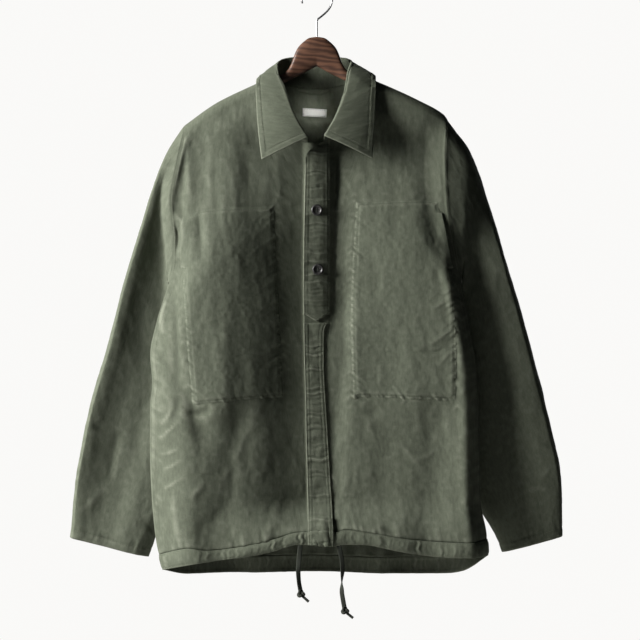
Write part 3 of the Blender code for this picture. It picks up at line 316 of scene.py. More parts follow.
def edge_right(z):
    return smooth(RIGHT_COLUMNS, "z", "edge", z)


def edge_left(z):
    return smooth(LEFT_COLUMNS, "z", "edge", z)


def ridge(x):
    return smooth(RIDGE, "x", "z", x)


def drop(x, z):
    return np.maximum(ridge(x) - z, 0)


def from_edge(x, z):
    return np.maximum(np.minimum(x - edge_right(z), edge_left(z) - x), 0)


def fold_height(folds, x, z):
    total = np.zeros(np.broadcast(x, z).shape)
    for fold in folds:
        part = (fold["top_z"] - z) / (fold["top_z"] - fold["bottom_z"])
        line = between(fold["top_x"], fold["bottom_x"], np.clip(part, -.2, 1.2))
        width = np.where(x < line, fold["right_width"], fold["left_width"])
        beyond = np.maximum(z - fold["top_z"], 0) + np.maximum(fold["bottom_z"] - z, 0)
        total += fold["rise"] * np.exp(-0.5 * ((x - line) / width) ** 2) * (1 - ease(beyond / FOLD_FADE))
    return total * ease(from_edge(x, z) / EDGE_FADE) * ease(drop(x, z) / FOLD_FADE)


def hang(x, z, fullness):
    """How far the cloth stands off the hanger's plane, away from the side edges."""
    below = drop(x, z)
    neck = NECK_SWELL * np.exp(-(x / NECK_HALF_WIDTH) ** 2) * (1 - ease(below / FULL_BY))
    return RIDGE_TURN * quarter_round(below / RIDGE_TURN) + fullness * ease(below / FULL_BY) \
        + neck * ease(below / (2 * RIDGE_TURN))


def front_y(x, z, folds):
    side = smooth(SIDE, "z", "front_y", z) * quarter_round(drop(x, z) / (2 * RIDGE_TURN))
    width = smooth(SIDE, "z", "front_turn", z) * np.where(x > 0, between(1, LEFT_TURN, ease((-0.36 - z) / 0.12)), 1)
    turn = np.sin(pi / 2 * np.clip(from_edge(x, z) / width, 0, 1))
    y = between(side, -hang(x, z, FRONT_FULLNESS), turn) - fold_height(folds, x, z)
    return np.minimum(y, -RIDGE_GAP / 2)


def back_y(x, z):
    side = smooth(SIDE, "z", "back_y", z) * quarter_round(drop(x, z) / (2 * RIDGE_TURN))
    part = np.clip(from_edge(x, z) / smooth(SIDE, "z", "back_turn", z), 0, 1)
    turn = np.sin(pi / 2 * part ** smooth(SIDE, "z", "back_slowness", z))
    y = between(side, hang(x, z, BACK_FULLNESS), turn) + fold_height(BACK_FOLDS, x, z)
    return np.where(drop(x, z) > 0, y, np.maximum(y, RIDGE_GAP / 2))


def right_front_y(x, z):
    """The right front drops back where the left front laps over it."""
    under = ease((x - smooth(LEFT_COLUMNS, "z", "free", z) + LAP_LEAD) / LAP_TURN)
    return between(front_y(x, z, RIGHT_FOLDS), front_y(x, z, LEFT_FOLDS) + LAP_GAP, under)


def left_front_y(x, z):
    return front_y(x, z, LEFT_FOLDS)


# ---------------------------------------------------------------- grids of points

def pick(lines, marks, at):
    """The value of the marked lines, where mark 1.3 is three tenths of the way from line 1 to line 2."""
    values = np.array([line(at) for line in lines])
    marks = np.asarray(marks, float)
    low = np.minimum(marks.astype(int), len(lines) - 2)
    part = marks - low
    rows, columns = np.indices(at.shape)
    low = np.broadcast_to(low, at.shape)
    return between(values[low, rows, columns], values[low + 1, rows, columns], part)


def crossings(column_lines, column_marks, level_lines, level_marks):
    """x and z where each marked column line crosses each marked level line."""
    shape = (len(level_marks), len(column_marks))
    x, z = np.zeros(shape), np.full(shape, -0.5)
    levels = np.array(level_marks, float)[:, None]
    for _ in range(GRID_PASSES):
        x = pick(column_lines, column_marks, z)
        z = pick(level_lines, levels, x)
    return x, z


def columns_of(rows, names):
    return [lambda z, name=name: smooth(rows, "z", name, z) for name in names.split()]


def levels_of(*lines):
    return [lambda x, line=line: smooth(line, "x", "z", x) for line in lines]


def with_y(x, z, y):
    return np.stack([x, y, z], axis=-1)


def outward(points):
    """Unit normals of a grid of points."""
    normal = np.cross(np.gradient(points, axis=1), np.gradient(points, axis=0))
    return normal / np.maximum(np.linalg.norm(normal, axis=-1, keepdims=True), 1e-9)


def grid_of(columns, top, hem_seam, hem):
    return columns, levels_of(top, POCKET_TOP, UNDERARM, PLACKET_END, POCKET_BOTTOM, hem_seam, hem)


RIGHT_GRID = grid_of(columns_of(RIGHT_COLUMNS, "edge pocket_out pocket_in neck free"), RIGHT_TOP,
                     FRONT_HEM_SEAM, FRONT_HEM)
LEFT_GRID = grid_of(columns_of(LEFT_COLUMNS, "free placket_in neck pocket_in pocket_out edge"), LEFT_TOP,
                    FRONT_HEM_SEAM, FRONT_HEM)
BACK_GRID = grid_of([edge_right] + columns_of(BACK_COLUMNS, "neck_right neck_left") + [edge_left], BACK_TOP,
                    BACK_HEM_SEAM, BACK_HEM)


# ---------------------------------------------------------------- camera, light and surroundings

def link(made):
    bpy.context.scene.collection.objects.link(made)
    return made


LENS, SENSOR = 108.2, 36.0
CAMERA_PLACE = (0.005, -3.0, -0.527)


def camera():
    """Level with the jacket's middle, square to it, at the photograph's distance."""
    data = bpy.data.cameras.new("camera")
    data.lens, data.sensor_width = LENS, SENSOR
    made = link(bpy.data.objects.new("camera", data))
    made.location, made.rotation_euler = CAMERA_PLACE, (pi / 2, 0, 0)
    bpy.context.scene.camera = made


def soft_lamp(name, place, aim, size, power, colour, spread):
    data = bpy.data.lights.new(name, "AREA")
    data.shape, data.size, data.energy, data.color, data.spread = "DISK", size, power, colour, radians(spread)
    made = link(bpy.data.objects.new(name, data))
    made.location = place
    made.rotation_euler = (Vector(aim) - Vector(place)).to_track_quat("-Z", "Y").to_euler()
    made.visible_camera = False


LAMPS = (   # name, place, aim, size, watts, colour, spread in degrees
    ("window_left", (-2.84, -0.95, 0.42), (0.0, 0.0, -0.5), 1.7, 292, (1.0, 0.99, 0.965), 180),
    ("wall_glow", (0.1, 1.1, -0.45), (0.0, 0.0, -0.5), 2.6, 12, (0.97, 0.99, 1.0), 180),
    ("fill_front", (0.8, -4.0, 0.6), (0.0, 0.0, -0.5), 2.5, 1, (0.95, 0.98, 1.0), 180),
    ("neck_glow", (-0.03, -0.62, -0.11), (-0.004, 0.05, -0.198), 0.04, 0.006, (1.0, 0.99, 0.965), 7),
)
BACKGROUND = (0.955, 0.95, 0.935, 1)
FLOOR_RADIUS, FLOOR_Z = 1.5, -1.95


def surroundings():
    """A soft lamp from the left, little from elsewhere, a pale background that hardly lights, and a pale floor."""
    for lamp in LAMPS:
        soft_lamp(*lamp)
    world = bpy.data.worlds.new("pale room")
    world.use_nodes = True
    bpy.context.scene.world = world
    tree = world.node_tree
    seen = tree.nodes["Background"]
    seen.inputs["Color"].default_value = BACKGROUND
    lit = node(tree, "ShaderNodeBackground", {"Color": (0.86, 0.92, 1.0, 1), "Strength": 0.016})
    camera_ray = node(tree, "ShaderNodeLightPath").outputs["Is Camera Ray"]
    mix = node(tree, "ShaderNodeMixShader", {0: camera_ray, 1: lit.outputs[0], 2: seen.outputs[0]})
    tree.links.new(mix.outputs[0], tree.nodes["World Output"].inputs["Surface"])
    form = bmesh.new()
    bmesh.ops.create_circle(form, cap_ends=True, segments=96, radius=FLOOR_RADIUS)
    bmesh.ops.translate(form, verts=form.verts, vec=(0, 0, FLOOR_Z))
    pale, tree, shader = new_finish("pale_floor")
    grain = node(tree, "ShaderNodeTexNoise", {"Scale": 6.0, "Detail": 4.0}).outputs["Fac"]
    tree.links.new(blend_of(tree, grain, (0.72, 0.71, 0.69), (0.80, 0.79, 0.77)), shader.inputs["Base Color"])
    shader.inputs["Roughness"].default_value = 0.7
    finished(form, "floor", pale, False)
    bpy.context.scene.view_settings.view_transform = "Standard"


# ---------------------------------------------------------------- finishes

def new_finish(name):
    made = bpy.data.materials.new(name)
    made.use_nodes = True
    return made, made.node_tree, made.node_tree.nodes["Principled BSDF"]


def node(tree, kind, inputs=None, **settings):
    made = tree.nodes.new(kind)
    for key, value in settings.items():
        setattr(made, key, value)
    for key, value in (inputs or {}).items():
        if isinstance(value, bpy.types.NodeSocket):
            tree.links.new(value, made.inputs[key])
        else:
            made.inputs[key].default_value = value
    return made


def sum_of(tree, *terms):
    """Adds sockets, each with its weight."""
    total = None
    for socket, weight in terms:
        part = node(tree, "ShaderNodeMath", {0: socket, 1: weight}, operation="MULTIPLY").outputs[0]
        total = part if total is None else node(tree, "ShaderNodeMath", {0: total, 1: part}).outputs[0]
    return total


def blend_of(tree, part, one, other):
    made = node(tree, "ShaderNodeMix", {0: part}, data_type="RGBA")
    for socket, value in ((made.inputs[6], one), (made.inputs[7], other)):
        if isinstance(value, bpy.types.NodeSocket):
            tree.links.new(value, socket)
        else:
            socket.default_value = (*value, 1)
    return made.outputs[2]


def range_of(tree, socket, low, high, to_low=0.0, to_high=1.0):
    ends = {"Value": socket, "From Min": low, "From Max": high, "To Min": to_low, "To Max": to_high}
    return node(tree, "ShaderNodeMapRange", ends).outputs["Result"]


def noise(tree, at, scale, detail=2.0, roughness=0.5, distortion=0.0):
    inputs = {"Vector": at, "Scale": scale, "Detail": detail, "Roughness": roughness, "Distortion": distortion}
    return node(tree, "ShaderNodeTexNoise", inputs).outputs["Fac"]


def moved(tree, at, **inputs):
    return node(tree, "ShaderNodeMapping", {"Vector": at, **inputs}).outputs[0]


def surfaced(tree, shader, colour, rough, height, strength, distance, plain):
    """Links a finish's colour, roughness and relief, and sets its plain values."""
    relief = node(tree, "ShaderNodeBump", {"Height": height, "Strength": strength, "Distance": distance}).outputs[0]
    for name, socket in (("Base Color", colour), ("Roughness", rough), ("Normal", relief)):
        tree.links.new(socket, shader.inputs[name])
    for name, value in plain.items():
        shader.inputs[name].default_value = value


def cotton(name, dark, light, worn_and_painted_light, thread=560.0, bump=0.35, sheen=0.06):
    """Twill that faded in the wash: fine diagonal ribs, soft blotches and heathered threads; crests are painted pale,
    partly as rubbed wear and partly as painted highlight, and hollows are painted darker as painted shade.
    """
    made, tree, shader = new_finish(name)
    at = node(tree, "ShaderNodeTexCoord")
    uv, place = at.outputs["UV"], at.outputs["Object"]
    twill = {"Vector": moved(tree, uv, Rotation=(0, 0, radians(28))), "Scale": thread, "Distortion": 1.2,
             "Detail": 2.0, "Detail Scale": 3.0}
    ribs = node(tree, "ShaderNodeTexWave", twill).outputs["Fac"]
    weft = node(tree, "ShaderNodeTexWave", {"Vector": uv, "Scale": 1.4 * thread, "Distortion": 0.8},
                bands_direction="Y").outputs["Fac"]
    blotch, cloud = noise(tree, place, 16.0, 5.0, 0.62), noise(tree, place, 4.5)
    heather = noise(tree, place, 700.0, 3.0, 0.7)
    slub = noise(tree, moved(tree, uv, Scale=(260.0, 75.0, 1.0)), 1.0, 3.0, 0.65)
    tone = sum_of(tree, (blotch, 0.13), (cloud, 0.10), (heather, 0.33), (slub, 0.44))
    colour = blend_of(tree, range_of(tree, tone, 0.40, 0.60), dark, light)
    # The per-point value read here is above zero on crests and edges, painted pale as rubbed wear and as painted
    # highlight, and below zero in hollows, painted darker as painted shade.
    wear_and_painted_light = node(tree, "ShaderNodeAttribute", attribute_name="wear_and_painted_light").outputs["Fac"]
    # Pale crests and edges: partly rubbed wear, partly painted highlight.
    pale_wear_and_highlight = node(tree, "ShaderNodeMath", {0: wear_and_painted_light, 1: range_of(tree, heather, 0.3, 0.7, 0.6, 1.25)},
                  operation="MULTIPLY").outputs[0]
    colour = blend_of(tree, range_of(tree, pale_wear_and_highlight, 0.0, 1.2), colour, worn_and_painted_light)
    # Painted shade: hollows blended towards a darker copy of the cloth's own tone.
    colour = blend_of(tree, range_of(tree, wear_and_painted_light, 0.0, -1.2, 0.0, 0.45), colour, tuple(0.55 * c for c in dark))
    height = sum_of(tree, (ribs, 0.55), (weft, 0.30), (heather, 0.5), (slub, 1.1), (blotch, 1.2))
    surfaced(tree, shader, colour, range_of(tree, tone, 0.3, 0.7, 0.82, 0.95), height, bump, 0.0007,
             {"Sheen Weight": sheen, "Sheen Roughness": 0.45, "Sheen Tint": (0.75, 0.80, 0.68, 1),
              "Specular IOR Level": 0.25})
    return made


def stained_wood():
    made, tree, shader = new_finish("stained_wood")
    place = node(tree, "ShaderNodeTexCoord").outputs["Object"]
    slant = (0, radians(-32), 0)
    rings = {"Vector": moved(tree, place, Rotation=slant, Scale=(1.0, 1.0, 5.0)), "Scale": 9.0, "Distortion": 5.0,
             "Detail": 4.0, "Detail Scale": 2.2}
    grain = node(tree, "ShaderNodeTexWave", rings, bands_direction="Z").outputs["Fac"]
    pores = noise(tree, moved(tree, place, Rotation=slant, Scale=(60.0, 400.0, 900.0)), 1.0, 3.0)
    tone = sum_of(tree, (grain, 0.45), (pores, 0.35), (noise(tree, place, 22.0, 3.0), 0.30))
    colour = blend_of(tree, range_of(tree, tone, 0.3, 0.8), (0.050, 0.021, 0.012), (0.150, 0.074, 0.046))
    surfaced(tree, shader, colour, range_of(tree, tone, 0.2, 0.9, 0.50, 0.34), tone, 0.25, 0.0005,
             {"Coat Weight": 0.25, "Coat Roughness": 0.25})
    return made


def steel_wire():
    made, tree, shader = new_finish("steel_wire")
    place = node(tree, "ShaderNodeTexCoord").outputs["Object"]
    drawn = noise(tree, place, 240.0, 4.0)
    tone = range_of(tree, noise(tree, place, 60.0), 0.35, 0.7)
    colour = blend_of(tree, tone, (0.42, 0.42, 0.43), (0.62, 0.62, 0.63))
    rough = range_of(tree, drawn, 0.3, 0.7, 0.22, 0.40)
    surfaced(tree, shader, colour, rough, drawn, 0.15, 0.0002, {"Metallic": 1.0})
    return made


def dark_button():
    made, tree, shader = new_finish("dark_button")
    swirl = noise(tree, node(tree, "ShaderNodeTexCoord").outputs["Object"], 170.0, 4.0, distortion=1.6)
    colour = blend_of(tree, range_of(tree, swirl, 0.35, 0.7), (0.010, 0.010, 0.011), (0.040, 0.038, 0.036))
    surfaced(tree, shader, colour, range_of(tree, swirl, 0.3, 0.7, 0.28, 0.42), swirl, 0.12, 0.0002, {})
    return made


# ---------------------------------------------------------------- pieces

def finished(form, name, finish, smooth_faces=True):
    """The bmesh as an object at the origin."""
    mesh = bpy.data.meshes.new(name)
    form.to_mesh(mesh)
    form.free()
    if smooth_faces:
        mesh.shade_smooth()
    mesh.materials.append(finish)
    return link(bpy.data.objects.new(name, mesh))


def show(made, slot, *nodes):
    """The piece rides on the body and stands for the named solids; its slot is not used."""
    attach(made, "root")
    if nodes:
        made.name = nodes[0] + "_made"
        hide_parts(*nodes)
    return made


def lengths(points):
    """How far each point lies along its row and down its column, in metres of cloth."""
    along = np.linalg.norm(np.diff(points, axis=1), axis=-1).cumsum(axis=1)
    down = np.linalg.norm(np.diff(points, axis=0), axis=-1).cumsum(axis=0)
    along = np.concatenate([np.zeros((len(points), 1)), along], axis=1)
    down = np.concatenate([np.zeros((1, points.shape[1])), down], axis=0)
    return along - along[:, along.shape[1] // 2, None], down


def shell(name, points, wall, finish, wear_and_painted_light, closed=False):
    """A wall of even thickness about a grid of points, with its weave's map and a value per point for rubbed wear,
    painted highlight on crests and painted shade in hollows.
    """
    rows, columns = points.shape[:2]
    form = bmesh.new()
    bmesh.ops.create_grid(form, x_segments=columns - 1, y_segments=rows - 1, size=1)
    weave = form.loops.layers.uv.new("weave")
    worn_and_painted_light = form.verts.layers.float.new("wear_and_painted_light")
    for vertex, place, amount in zip(form.verts, points.reshape(-1, 3).tolist(), wear_and_painted_light.ravel().tolist()):
        vertex.co = place
        vertex[worn_and_painted_light] = amount
    u, v = (side.ravel().tolist() for side in lengths(points))
    for face in form.faces:
        for loop in face.loops:
            k = loop.vert.index
            loop[weave].uv = (u[k], v[k])
    if closed:
        bmesh.ops.remove_doubles(form, verts=form.verts, dist=1e-6)
    made = finished(form, name, finish)
    thicken = made.modifiers.new("wall", "SOLIDIFY")
    thicken.thickness, thicken.offset, thicken.use_quality_normals = wall, 0, True
    return made


def loft(name, rings, finish):
    """A closed solid through rings of equal count, with flat ends."""
    form = bmesh.new()
    loops = []
    for ring in rings:
        vertices = [form.verts.new(point) for point in ring]
        loops.append([form.edges.new(pair) for pair in zip(vertices, vertices[1:] + vertices[:1])])
    for one, other in zip(loops, loops[1:]):
        bmesh.ops.bridge_loops(form, edges=one + other)
    for end in (loops[0], loops[-1]):
        bmesh.ops.contextual_create(form, geom=end)
    bmesh.ops.recalc_face_normals(form, faces=form.faces)
    return finished(form, name, finish)


def tube(name, paths, radius, finish, bevel_resolution=4, tapers=None):
    """A round tube along each path, all in one piece; tapers are the shares of the radius at the path's points."""
    curve = bpy.data.curves.new(name, "CURVE")
    curve.dimensions = "3D"
    curve.bevel_depth, curve.bevel_resolution, curve.use_fill_caps = radius, bevel_resolution, True
    for path in paths:
        spline = curve.splines.new("POLY")
        spline.points.add(len(path) - 1)
        for k, place in enumerate(path):
            spline.points[k].co = (*place, 1)
            spline.points[k].radius = 1 if tapers is None else float(np.interp(k / (len(path) - 1), *tapers))
        spline.use_smooth = True
    curve.materials.append(finish)
    bent = link(bpy.data.objects.new(name, curve))
    mesh = bpy.data.meshes.new_from_object(bent.evaluated_get(bpy.context.evaluated_depsgraph_get()))
    bpy.data.objects.remove(bent, do_unlink=True)
    mesh.name = name
    return link(bpy.data.objects.new(name, mesh))


# ---------------------------------------------------------------- creases, puckers and sewing

def irregular(s, wave, seed=0.0):
    """A line of uneven bumps about a wave apart, some strong and some hardly there, from -1 to 1."""
    dice = np.random.default_rng(int(10 * seed) + 7)
    heights = dice.uniform(-1, 1, 4096) * dice.choice([0.25, 0.6, 1.0], 4096)
    at = 2 * np.asarray(s) / wave + 2048.37
    k = np.floor(at).astype(int) % 4096
    part = ease(at - np.floor(at))
    return between(heights[k], heights[(k + 1) % 4096], part)


def mottle(x, z, size, seed):
    """Soft uneven swells of about a size, from -1 to 1."""
    lattice = np.random.default_rng(seed).random((96, 96)) * 2 - 1
    u, v = x / size + 43.3, z / size + 71.9
    i, j = np.floor(u).astype(int), np.floor(v).astype(int)
    p, q = ease(u - i), ease(v - j)
    def corner(a, b):
        return lattice[(i + a) % 96, (j + b) % 96]
    return between(between(corner(0, 0), corner(1, 0), p), between(corner(0, 1), corner(1, 1), p), q)


def crumple(x, z, size, seed):
    """Soft crumples drawn out along the cloth's length, from about -1 to 1."""
    u = x + 0.45 * size * mottle(x, z, 1.7 * size, seed + 100)
    v = z / 1.7 + 0.45 * size * mottle(x, z, 1.9 * size, seed + 200)
    return 0.8 * mottle(u, v, size, seed) + 0.4 * mottle(u + 0.6 * v, v - 0.3 * u, 0.6 * size, seed + 300)


def cloth_texture(x, z, seed):
    """The unironed cloth's own unevenness, from a hand's width down to a few threads."""
    return 0.0014 * crumple(x, 0.42 * z, 0.040, seed) + 0.0007 * crumple(x, 0.50 * z, 0.019, seed + 1) \
        + 0.00036 * crumple(x, z, 0.0105, seed + 2) + 0.00024 * mottle(x, z, 0.0052, seed + 3)


CREASE = "x0 z0 x1 z1 x2 z2 width rise lean"


def creased(creases, x, z):
    """Listed creases: each bends from its first point past its second to its third."""
    total = np.zeros(x.shape)
    for crease in creases:
        bend = np.array([[crease["x%d" % k], crease["z%d" % k]] for k in range(3)])
        width = crease["width"]
        t = np.linspace(0, 1, 9)[:, None]
        line = bend[0] * (1 - t) * (1 - 2 * t) + bend[1] * 4 * t * (1 - t) + bend[2] * t * (2 * t - 1)
        low, high = line.min(axis=0) - 4 * width, line.max(axis=0) + 4 * width
        near = (x > low[0]) & (x < high[0]) & (z > low[1]) & (z < high[1])
        px, pz = x[near], z[near]
        best, along, side = np.full(px.shape, 9.0), np.zeros(px.shape), np.zeros(px.shape)
        for k, (a, way) in enumerate(zip(line, np.diff(line, axis=0))):
            part = np.clip(((px - a[0]) * way[0] + (pz - a[1]) * way[1]) / max(way @ way, 1e-12), 0, 1)
            dx, dz = px - a[0] - part * way[0], pz - a[1] - part * way[1]
            nearer = np.hypot(dx, dz) < best
            best = np.where(nearer, np.hypot(dx, dz), best)
            along = np.where(nearer, (k + part) / 8, along)
            side = np.where(nearer, np.sign(way[0] * dz - way[1] * dx), side)
        across = best / (width * (1 + crease.get("lean", 0) * side))
        total[near] += crease["rise"] * np.exp(-across ** 1.6) * np.sin(pi * np.clip(along, 0, 1)) ** 0.7
    return total


def softened(field, times=3):
    for _ in range(times):
        padded = np.pad(field, 1, mode="edge")
        field = (padded[:-2, 1:-1] + padded[2:, 1:-1] + padded[1:-1, :-2] + padded[1:-1, 2:] + 2 * field) / 6
    return field


def wear_and_painted_light_of(relief, strength=1.0):
    """Crests come out pale, partly as rubbed wear and partly as painted highlight; hollows come out darker as painted
    shade.
    """
    return np.clip((relief - softened(relief, 8)) / 0.00080 * strength, -1, 1)


def raised(points, relief, way):
    return points + outward(points) * way * relief[..., None]


def groove(away, at, depth=0.0007, width=0.0010):
    return -depth * np.exp(-((away - at) / width) ** 2)


def fine(counts, start=(0, .006, .02, .045, .08)):
    """Marks with so many steps between each line and the next, and the start's own closer steps."""
    marks = {k + step / count for k, count in enumerate(counts) for step in range(count)}
    return sorted(marks | {float(len(counts))} | set(start))


RIGHT_CREASES = table(
    CREASE, (-194, -229, -212, -282, -224, -351, 7, 3), (-227, -267, -229, -290, -226, -316, 6, -3),
    (-221, -362, -203, -392, -217, -438, 6, 3), (-227, -377, -214, -399, -224, -429, 5, -2.5),
    (-197, -236, -198, -298, -194, -351, 6, 1.5), (-168, -236, -165, -344, -163, -481, 10, 1.6),
    (-180, -359, -178, -397, -175, -438, 5, -2), (-234, -496, -237, -519, -235, -550, 6, 2.5),
    (-221, -481, -215, -558, -212, -642, 5, -2), (-212, -642, -215, -665, -221, -683, 6, -3),
    (-243, -710, -227, -698, -212, -680, 3, 1.2), (-240, -733, -224, -730, -209, -720, 3, 1.2),
    (-237, -756, -221, -750, -206, -738, 3, 1.2), (-235, -787, -220, -778, -204, -766, 3, 1.2),
    (-240, -688, -227, -674, -215, -655, 3, 1.2), (-197, -666, -178, -668, -160, -662, 6, -3),
    (-84, -649, -117, -723, -156, -802, 11, 1.6), (-171, -772, -182, -787, -194, -802, 6, 1.5),
    (-133, -798, -160, -833, -191, -863, 14, -2), (-221, -795, -215, -836, -209, -876, 11, 2.5))
LEFT_CREASES = table(
    CREASE, (33, -267, 33, -313, 29, -359, 8, -3), (29, -359, 26, -428, 25, -496, 5, -1.5),
    (54, -359, 55, -496, 54, -726, 8, 1), (211, -493, 193, -501, 173, -512, 4, 1.2),
    (211, -539, 193, -551, 173, -565, 4, 1.2), (204, -573, 196, -585, 185, -597, 4, 1.2),
    (195, -573, 176, -576, 158, -573, 5, -1.5), (74, -662, 85, -668, 97, -663, 6, -1.5),
    (120, -710, 143, -733, 166, -764, 5, 0.8), (150, -741, 173, -733, 196, -710, 5, 0.6),
    (31, -853, 66, -850, 104, -856, 9, 2), (97, -845, 109, -848, 121, -854, 5, -2))
BACK_CREASES = table(
    CREASE, (-60, -290, -70, -420, -110, -560, 12, 2.5, 0.3), (-20, -330, -15, -470, -40, -640, 10, -2, -0.3),
    (70, -300, 55, -430, 80, -600, 11, 2.4, -0.3), (120, -360, 105, -470, 110, -560, 9, -2.2, 0.2),
    (-160, -470, -130, -560, -90, -640, 10, 2.6, 0.3), (170, -480, 140, -570, 100, -650, 10, 2.4, -0.3),
    (-200, -520, -165, -560, -150, -620, 7, -1.8), (205, -520, 175, -570, 160, -640, 7, -2),
    (-120, -700, -100, -780, -105, -880, 11, 2.6, 0.3), (-50, -690, -40, -790, -60, -890, 9, -2.2, 0.2),
    (30, -680, 45, -780, 40, -890, 12, 2.5, -0.2), (110, -700, 95, -800, 120, -890, 10, -2.4, 0.2),
    (160, -720, 170, -800, 160, -880, 9, 2.2, 0.2), (-180, -740, -170, -810, -180, -880, 8, 2, -0.2),
    (-40, -200, 0, -215, 45, -200, 8, 1.5), (-130, -230, -150, -300, -170, -380, 9, 2.2, 0.3),
    (130, -225, 150, -300, 165, -390, 9, 2.2, -0.3))


def side_puckers(away, along, seed, height=0.0009, reach=0.016, wave=0.011):
    """Feathered creases that leave a seam at a slant."""
    return height * irregular(along + 0.55 * away, wave, seed) * np.exp(-away / reach) * ease(away / 0.002)


def pocket_puckers(d_out, d_in, d_top, d_bottom, x, z, seed):
    """The same small creases run through the pocket's seams and out over the panel."""
    total = np.zeros(x.shape)
    for away, along, k in ((d_out, z, 0.0), (d_in, z, 1.3), (d_bottom, x, 2.6)):
        near = np.exp(-np.maximum(away, 0) / 0.010) * np.exp(-np.maximum(-away, 0) / 0.009)
        inside = ease((np.minimum(np.minimum(d_out, d_in), np.minimum(d_top, d_bottom)) + 0.020) / 0.010)
        open_part = ease((z + 0.472) / 0.03) * (k == 0)
        total += 0.0007 * irregular(along + 0.7 * np.abs(away), 0.0105, seed + k) * near * inside * (1 - open_part)
    return total


def pocket_distances(rows, x, z):
    """How far inside the pocket's outer, inner, top and bottom lines a point lies."""
    out, inner = smooth(rows, "z", "pocket_out", z), smooth(rows, "z", "pocket_in", z)
    way = np.sign(inner - out)
    return ((x - out) * way, (inner - x) * way,
            smooth(POCKET_TOP, "x", "z", x) - z, z - smooth(POCKET_BOTTOM, "x", "z", x))


def panel_relief(rows, creases, side, x, z, seed):
    """What is placed on a front beyond its solid's own folds."""
    away = np.abs(x - side(z))
    above_hem = z - smooth(FRONT_HEM_SEAM, "x", "z", x)
    seam = ease((SIDE_SEAM_TOP - z) / 0.02)
    total = creased(creases, x, z)
    total += side_puckers(away, z, seed) * seam
    total += 0.0005 * irregular(z, 0.013, seed + 4) * np.exp(-away / 0.010) * ease(away / 0.003) * (1 - seam)
    total += pocket_puckers(*pocket_distances(rows, x, z), x, z, seed)
    total += 0.0010 * irregular(x + 0.2 * above_hem, 0.0095, seed + 7) * np.exp(-above_hem / 0.014)
    total += 0.0012 * irregular(x - 0.3 * above_hem, 0.024, seed + 8) * np.exp(-above_hem / 0.035)
    total += cloth_texture(x, z, 10 * int(seed))
    total *= ease(away / 0.006) * ease(drop(x, z) / 0.030)
    return total - HEM_SEAM_DEPTH * np.exp(-(above_hem / 0.0025) ** 2)


def right_relief(x, z):
    total = panel_relief(RIGHT_COLUMNS, RIGHT_CREASES, edge_right, x, z, 1.0)
    return total * ease((smooth(LEFT_COLUMNS, "z", "free", z) + 0.004 - x) / 0.012)


def left_relief(x, z):
    total = panel_relief(LEFT_COLUMNS, LEFT_CREASES, edge_left, x, z, 2.0)
    return np.where(x < 0.03, np.maximum(total, -0.0014), total)


def back_relief(x, z):
    away = from_edge(x, z)
    above_hem = z - smooth(BACK_HEM_SEAM, "x", "z", x)
    total = creased(BACK_CREASES, x, z)
    total += side_puckers(away, z, 5.0) * ease((SIDE_SEAM_TOP - z) / 0.02)
    total += 0.0010 * irregular(x + 0.2 * above_hem, 0.0100, 6.0) * np.exp(-above_hem / 0.015)
    total += 0.0014 * irregular(x - 0.3 * above_hem, 0.026, 7.0) * np.exp(-above_hem / 0.040)
    total += cloth_texture(x, z, 50)
    total *= ease(away / 0.006) * ease(drop(x, z) / 0.030)
    return total - HEM_SEAM_DEPTH * np.exp(-(above_hem / 0.0025) ** 2)


FRONT_ROWS = [44, 48, 26, 48, 78]
RIGHT_STEPS, LEFT_STEPS = [16, 56, 8, 26], [16, 14, 8, 58, 10]
BACK_STEPS, BACK_ROWS = [44, 46, 44], [36, 32, 18, 34, 60]


def panel(name, grid, steps, rows, surface, relief, way, finish):
    x, z = crossings(grid[0], fine(steps, ()), grid[1], fine(rows))
    lift = relief(x, z)
    points = raised(with_y(x, z, surface(x, z)), lift, way)
    made = show(shell(name, points, CLOTH, finish, wear_and_painted_light_of(lift)), "olive_cotton", name)
    return made, points


def hem_bands(finish, thread):
    """The drawstring tunnel: small upright ribs between its seam and its turned lower edge."""
    for name, grid, steps, surface, way, flat, carrier in (
            ("hem_band_right", RIGHT_GRID, [12, 76, 8, 32], right_front_y, -1, (0.25, 0.029), "front_right"),
            ("hem_band_left", LEFT_GRID, [18, 16, 8, 86, 14], left_front_y, -1, (0.275, 0.029), "front_left"),
            ("hem_band_back", BACK_GRID, [76, 84, 76], back_y, 1, (0.52, 0.029), "back")):
        part = np.linspace(0, 1, 19)[:, None]
        x, z = crossings(grid[0], fine(steps, ()), grid[1], list(5 + part[:, 0]))
        seed, round_ = 3.0 * len(name), np.sin(pi * part)
        swell, sag = 0.0018 * round_ ** 0.6, 0.0012 * irregular(x, 0.030, seed + 1) * round_
        ribs = 0.0011 * irregular(x + 0.0015 * np.sin(9 * part + 60 * x), 0.0085, seed) * round_ ** 0.5
        ribs = ribs + 0.0004 * irregular(x + 0.003 * part, 0.0043, seed + 2) * round_ ** 0.4
        lift = swell + sag + ribs + groove(part, 0.11, 0.0006, 0.05) + groove(part, 0.90, 0.0006, 0.05)
        points = raised(with_y(x, z, surface(x, z)), lift, way)
        wear_and_painted_light = wear_and_painted_light_of(ribs, 0.8) + 0.5 * np.exp(-((1 - part) / 0.06) ** 2)
        made = show(shell(name, points, HEM_WALL, finish, wear_and_painted_light), "olive_cotton", name)
        sewn(name + "_stitches", made, [points[r, 3:-3][:, [0, 2]] for r in (2, 16)], thread, -way)


